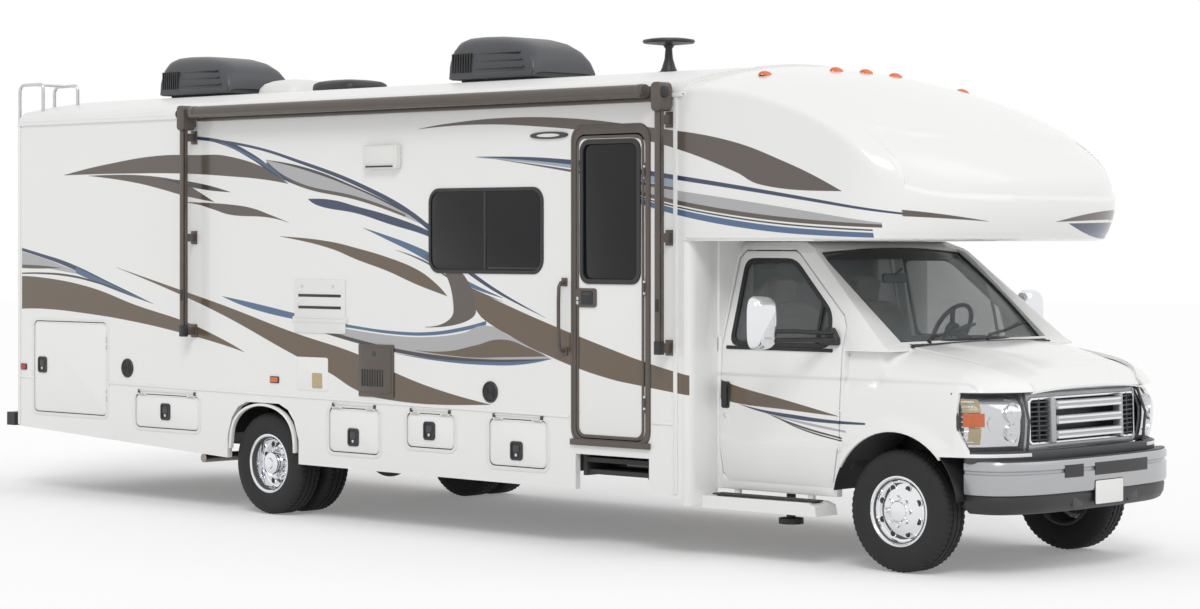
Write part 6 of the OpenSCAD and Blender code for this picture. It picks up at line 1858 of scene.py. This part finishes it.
# --------------------------------------------------------------------- add-on
class MotorhomeStage(bpy.types.PropertyGroup):
    """How strongly the studio lights the vehicle."""
    sky_strength: bpy.props.FloatProperty(name="Sky strength",
        description="Strength of the even white light from all round", default=0.64, min=0.0, max=2.0,
        subtype="FACTOR")
    sun_strength: bpy.props.FloatProperty(name="Lamp strength",
        description="Strength of the main soft lamp, in watts a square metre", default=0.98, min=0.0,
        max=5.0)
    floor_color: bpy.props.FloatVectorProperty(name="Floor colour",
        description="Colour of the studio floor", default=(0.93, 0.93, 0.93), min=0.0, max=1.0,
        subtype="COLOR")


class MotorhomeSizes(bpy.types.PropertyGroup):
    """Sizes that a user would change."""
    hatch_corner: bpy.props.FloatProperty(name="Hatch corner",
        description="Corner radius of the storage hatches", default=0.045, min=0.01, max=0.1,
        subtype="DISTANCE", unit="LENGTH")
    belt_height: bpy.props.FloatProperty(name="Belt moulding",
        description="Height of the side moulding at the rear wall", default=0.915, min=0.8, max=1.1,
        subtype="DISTANCE", unit="LENGTH")
    awning_radius: bpy.props.FloatProperty(name="Awning roll", description="Radius of the rolled awning",
        default=0.043, min=0.03, max=0.0455, subtype="DISTANCE", unit="LENGTH")
    cap_detail: bpy.props.IntProperty(name="Cap detail",
        description="How many times each side of the cap is divided", default=100, min=20, max=110)
    mirror_height: bpy.props.FloatProperty(name="Mirror height",
        description="Height of the middle of the door mirrors", default=1.51, min=1.45, max=1.51,
        subtype="DISTANCE", unit="LENGTH")


def built(build, *settings):
    """Makes one piece or one group of like pieces, with nothing selected at the start."""
    clear_selection()
    build(*settings)
    return {"FINISHED"}


class MOTORHOME_OT_stage(bpy.types.Operator):
    """Adds the camera, the floor and the lights"""
    bl_idname = "motorhome.stage"
    bl_label = "Stage"

    def execute(self, context):
        return built(build_stage, context.scene.motorhome_stage)


class MOTORHOME_OT_walls(bpy.types.Operator):
    """Finishes the walls, roof and floor and adds their mouldings"""
    bl_idname = "motorhome.walls"
    bl_label = "House walls"

    def execute(self, context):
        return built(build_walls, context.scene.motorhome_sizes)


class MOTORHOME_OT_hatches(bpy.types.Operator):
    """Adds the storage hatches, their frames and latches"""
    bl_idname = "motorhome.hatches"
    bl_label = "Hatches"

    def execute(self, context):
        return built(build_hatches, context.scene.motorhome_sizes)


class MOTORHOME_OT_entry_door(bpy.types.Operator):
    """Adds the entry door, its pane and its frame"""
    bl_idname = "motorhome.entry_door"
    bl_label = "Entry door"

    def execute(self, context):
        return built(build_entry_door)


class MOTORHOME_OT_windows(bpy.types.Operator):
    """Adds the windows of the house"""
    bl_idname = "motorhome.windows"
    bl_label = "House windows"

    def execute(self, context):
        return built(build_windows)


class MOTORHOME_OT_cap(bpy.types.Operator):
    """Adds the moulded cap over the cab and its marker lamps"""
    bl_idname = "motorhome.cap"
    bl_label = "Front cap"

    def execute(self, context):
        return built(build_cap, context.scene.motorhome_sizes)


class MOTORHOME_OT_awning(bpy.types.Operator):
    """Adds the rolled awning and its arms"""
    bl_idname = "motorhome.awning"
    bl_label = "Awning"

    def execute(self, context):
        return built(build_awning, context.scene.motorhome_sizes)


class MOTORHOME_OT_roof_gear(bpy.types.Operator):
    """Adds air conditioners, vents and the antenna"""
    bl_idname = "motorhome.roof_gear"
    bl_label = "Roof equipment"

    def execute(self, context):
        return built(build_roof_gear)


class MOTORHOME_OT_ladder(bpy.types.Operator):
    """Adds the ladder on the rear wall"""
    bl_idname = "motorhome.ladder"
    bl_label = "Ladder"

    def execute(self, context):
        return built(build_ladder)


class MOTORHOME_OT_side_fittings(bpy.types.Operator):
    """Adds vents, panels, speakers and the grab handle"""
    bl_idname = "motorhome.side_fittings"
    bl_label = "Side fittings"

    def execute(self, context):
        return built(build_side_fittings)


class MOTORHOME_OT_lamps(bpy.types.Operator):
    """Adds the marker, porch and tail lamps"""
    bl_idname = "motorhome.lamps"
    bl_label = "Lamps"

    def execute(self, context):
        return built(build_lamps)


class MOTORHOME_OT_cab_body(bpy.types.Operator):
    """Adds the cab's shell, fenders, cowl and wipers"""
    bl_idname = "motorhome.cab_body"
    bl_label = "Cab body"

    def execute(self, context):
        return built(build_cab_body)


class MOTORHOME_OT_hood(bpy.types.Operator):
    """Adds the hood"""
    bl_idname = "motorhome.hood"
    bl_label = "Hood"

    def execute(self, context):
        return built(build_hood)


class MOTORHOME_OT_windscreen(bpy.types.Operator):
    """Adds the windscreen, its seal and the inside mirror"""
    bl_idname = "motorhome.windscreen"
    bl_label = "Windscreen"

    def execute(self, context):
        return built(build_windscreen)


class MOTORHOME_OT_cab_doors(bpy.types.Operator):
    """Adds the cab doors and their mirrors"""
    bl_idname = "motorhome.cab_doors"
    bl_label = "Cab doors"

    def execute(self, context):
        return built(build_cab_doors, context.scene.motorhome_sizes)


class MOTORHOME_OT_cab_front(bpy.types.Operator):
    """Adds the headlamps, grille and bumper"""
    bl_idname = "motorhome.cab_front"
    bl_label = "Cab front"

    def execute(self, context):
        return built(build_cab_front)


class MOTORHOME_OT_wheels(bpy.types.Operator):
    """Adds the tyres and the polished wheel liners"""
    bl_idname = "motorhome.wheels"
    bl_label = "Wheels"

    def execute(self, context):
        return built(build_wheels)


class MOTORHOME_OT_interior(bpy.types.Operator):
    """Adds the seats and the dashboard"""
    bl_idname = "motorhome.interior"
    bl_label = "Cab interior"

    def execute(self, context):
        return built(build_interior)


class MOTORHOME_OT_underside(bpy.types.Operator):
    """Finishes the chassis, axles, exhaust and steps"""
    bl_idname = "motorhome.underside"
    bl_label = "Underside"

    def execute(self, context):
        return built(build_underside)


OPERATORS = (
    MOTORHOME_OT_stage, MOTORHOME_OT_walls, MOTORHOME_OT_hatches, MOTORHOME_OT_entry_door,
    MOTORHOME_OT_windows, MOTORHOME_OT_cap, MOTORHOME_OT_awning, MOTORHOME_OT_roof_gear,
    MOTORHOME_OT_ladder, MOTORHOME_OT_side_fittings, MOTORHOME_OT_lamps, MOTORHOME_OT_cab_body,
    MOTORHOME_OT_hood, MOTORHOME_OT_windscreen, MOTORHOME_OT_cab_doors, MOTORHOME_OT_cab_front,
    MOTORHOME_OT_wheels, MOTORHOME_OT_interior, MOTORHOME_OT_underside,
)


class MOTORHOME_PT_panel(bpy.types.Panel):
    """Lists the parts of the vehicle."""
    bl_idname = "MOTORHOME_PT_panel"
    bl_label = "Motorhome"
    bl_space_type = "VIEW_3D"
    bl_region_type = "UI"
    bl_category = "Motorhome"

    def draw(self, context):
        for group in (context.scene.motorhome_stage, context.scene.motorhome_sizes):
            for name in group.bl_rna.properties.keys():
                if name not in ("rna_type", "name"):
                    self.layout.prop(group, name)
        for operator in OPERATORS:
            self.layout.operator(operator.bl_idname)


CLASSES = (MotorhomeStage, MotorhomeSizes, *OPERATORS, MOTORHOME_PT_panel)


def register():
    for item in CLASSES:
        bpy.utils.register_class(item)
    bpy.types.Scene.motorhome_stage = bpy.props.PointerProperty(type=MotorhomeStage)
    bpy.types.Scene.motorhome_sizes = bpy.props.PointerProperty(type=MotorhomeSizes)


def unregister():
    del bpy.types.Scene.motorhome_sizes
    del bpy.types.Scene.motorhome_stage
    for item in reversed(CLASSES):
        bpy.utils.unregister_class(item)


def main():
    register()
    for operator in OPERATORS:
        group, name = operator.bl_idname.split(".")
        getattr(getattr(bpy.ops, group), name)()


if __name__ == "__main__":
    main()
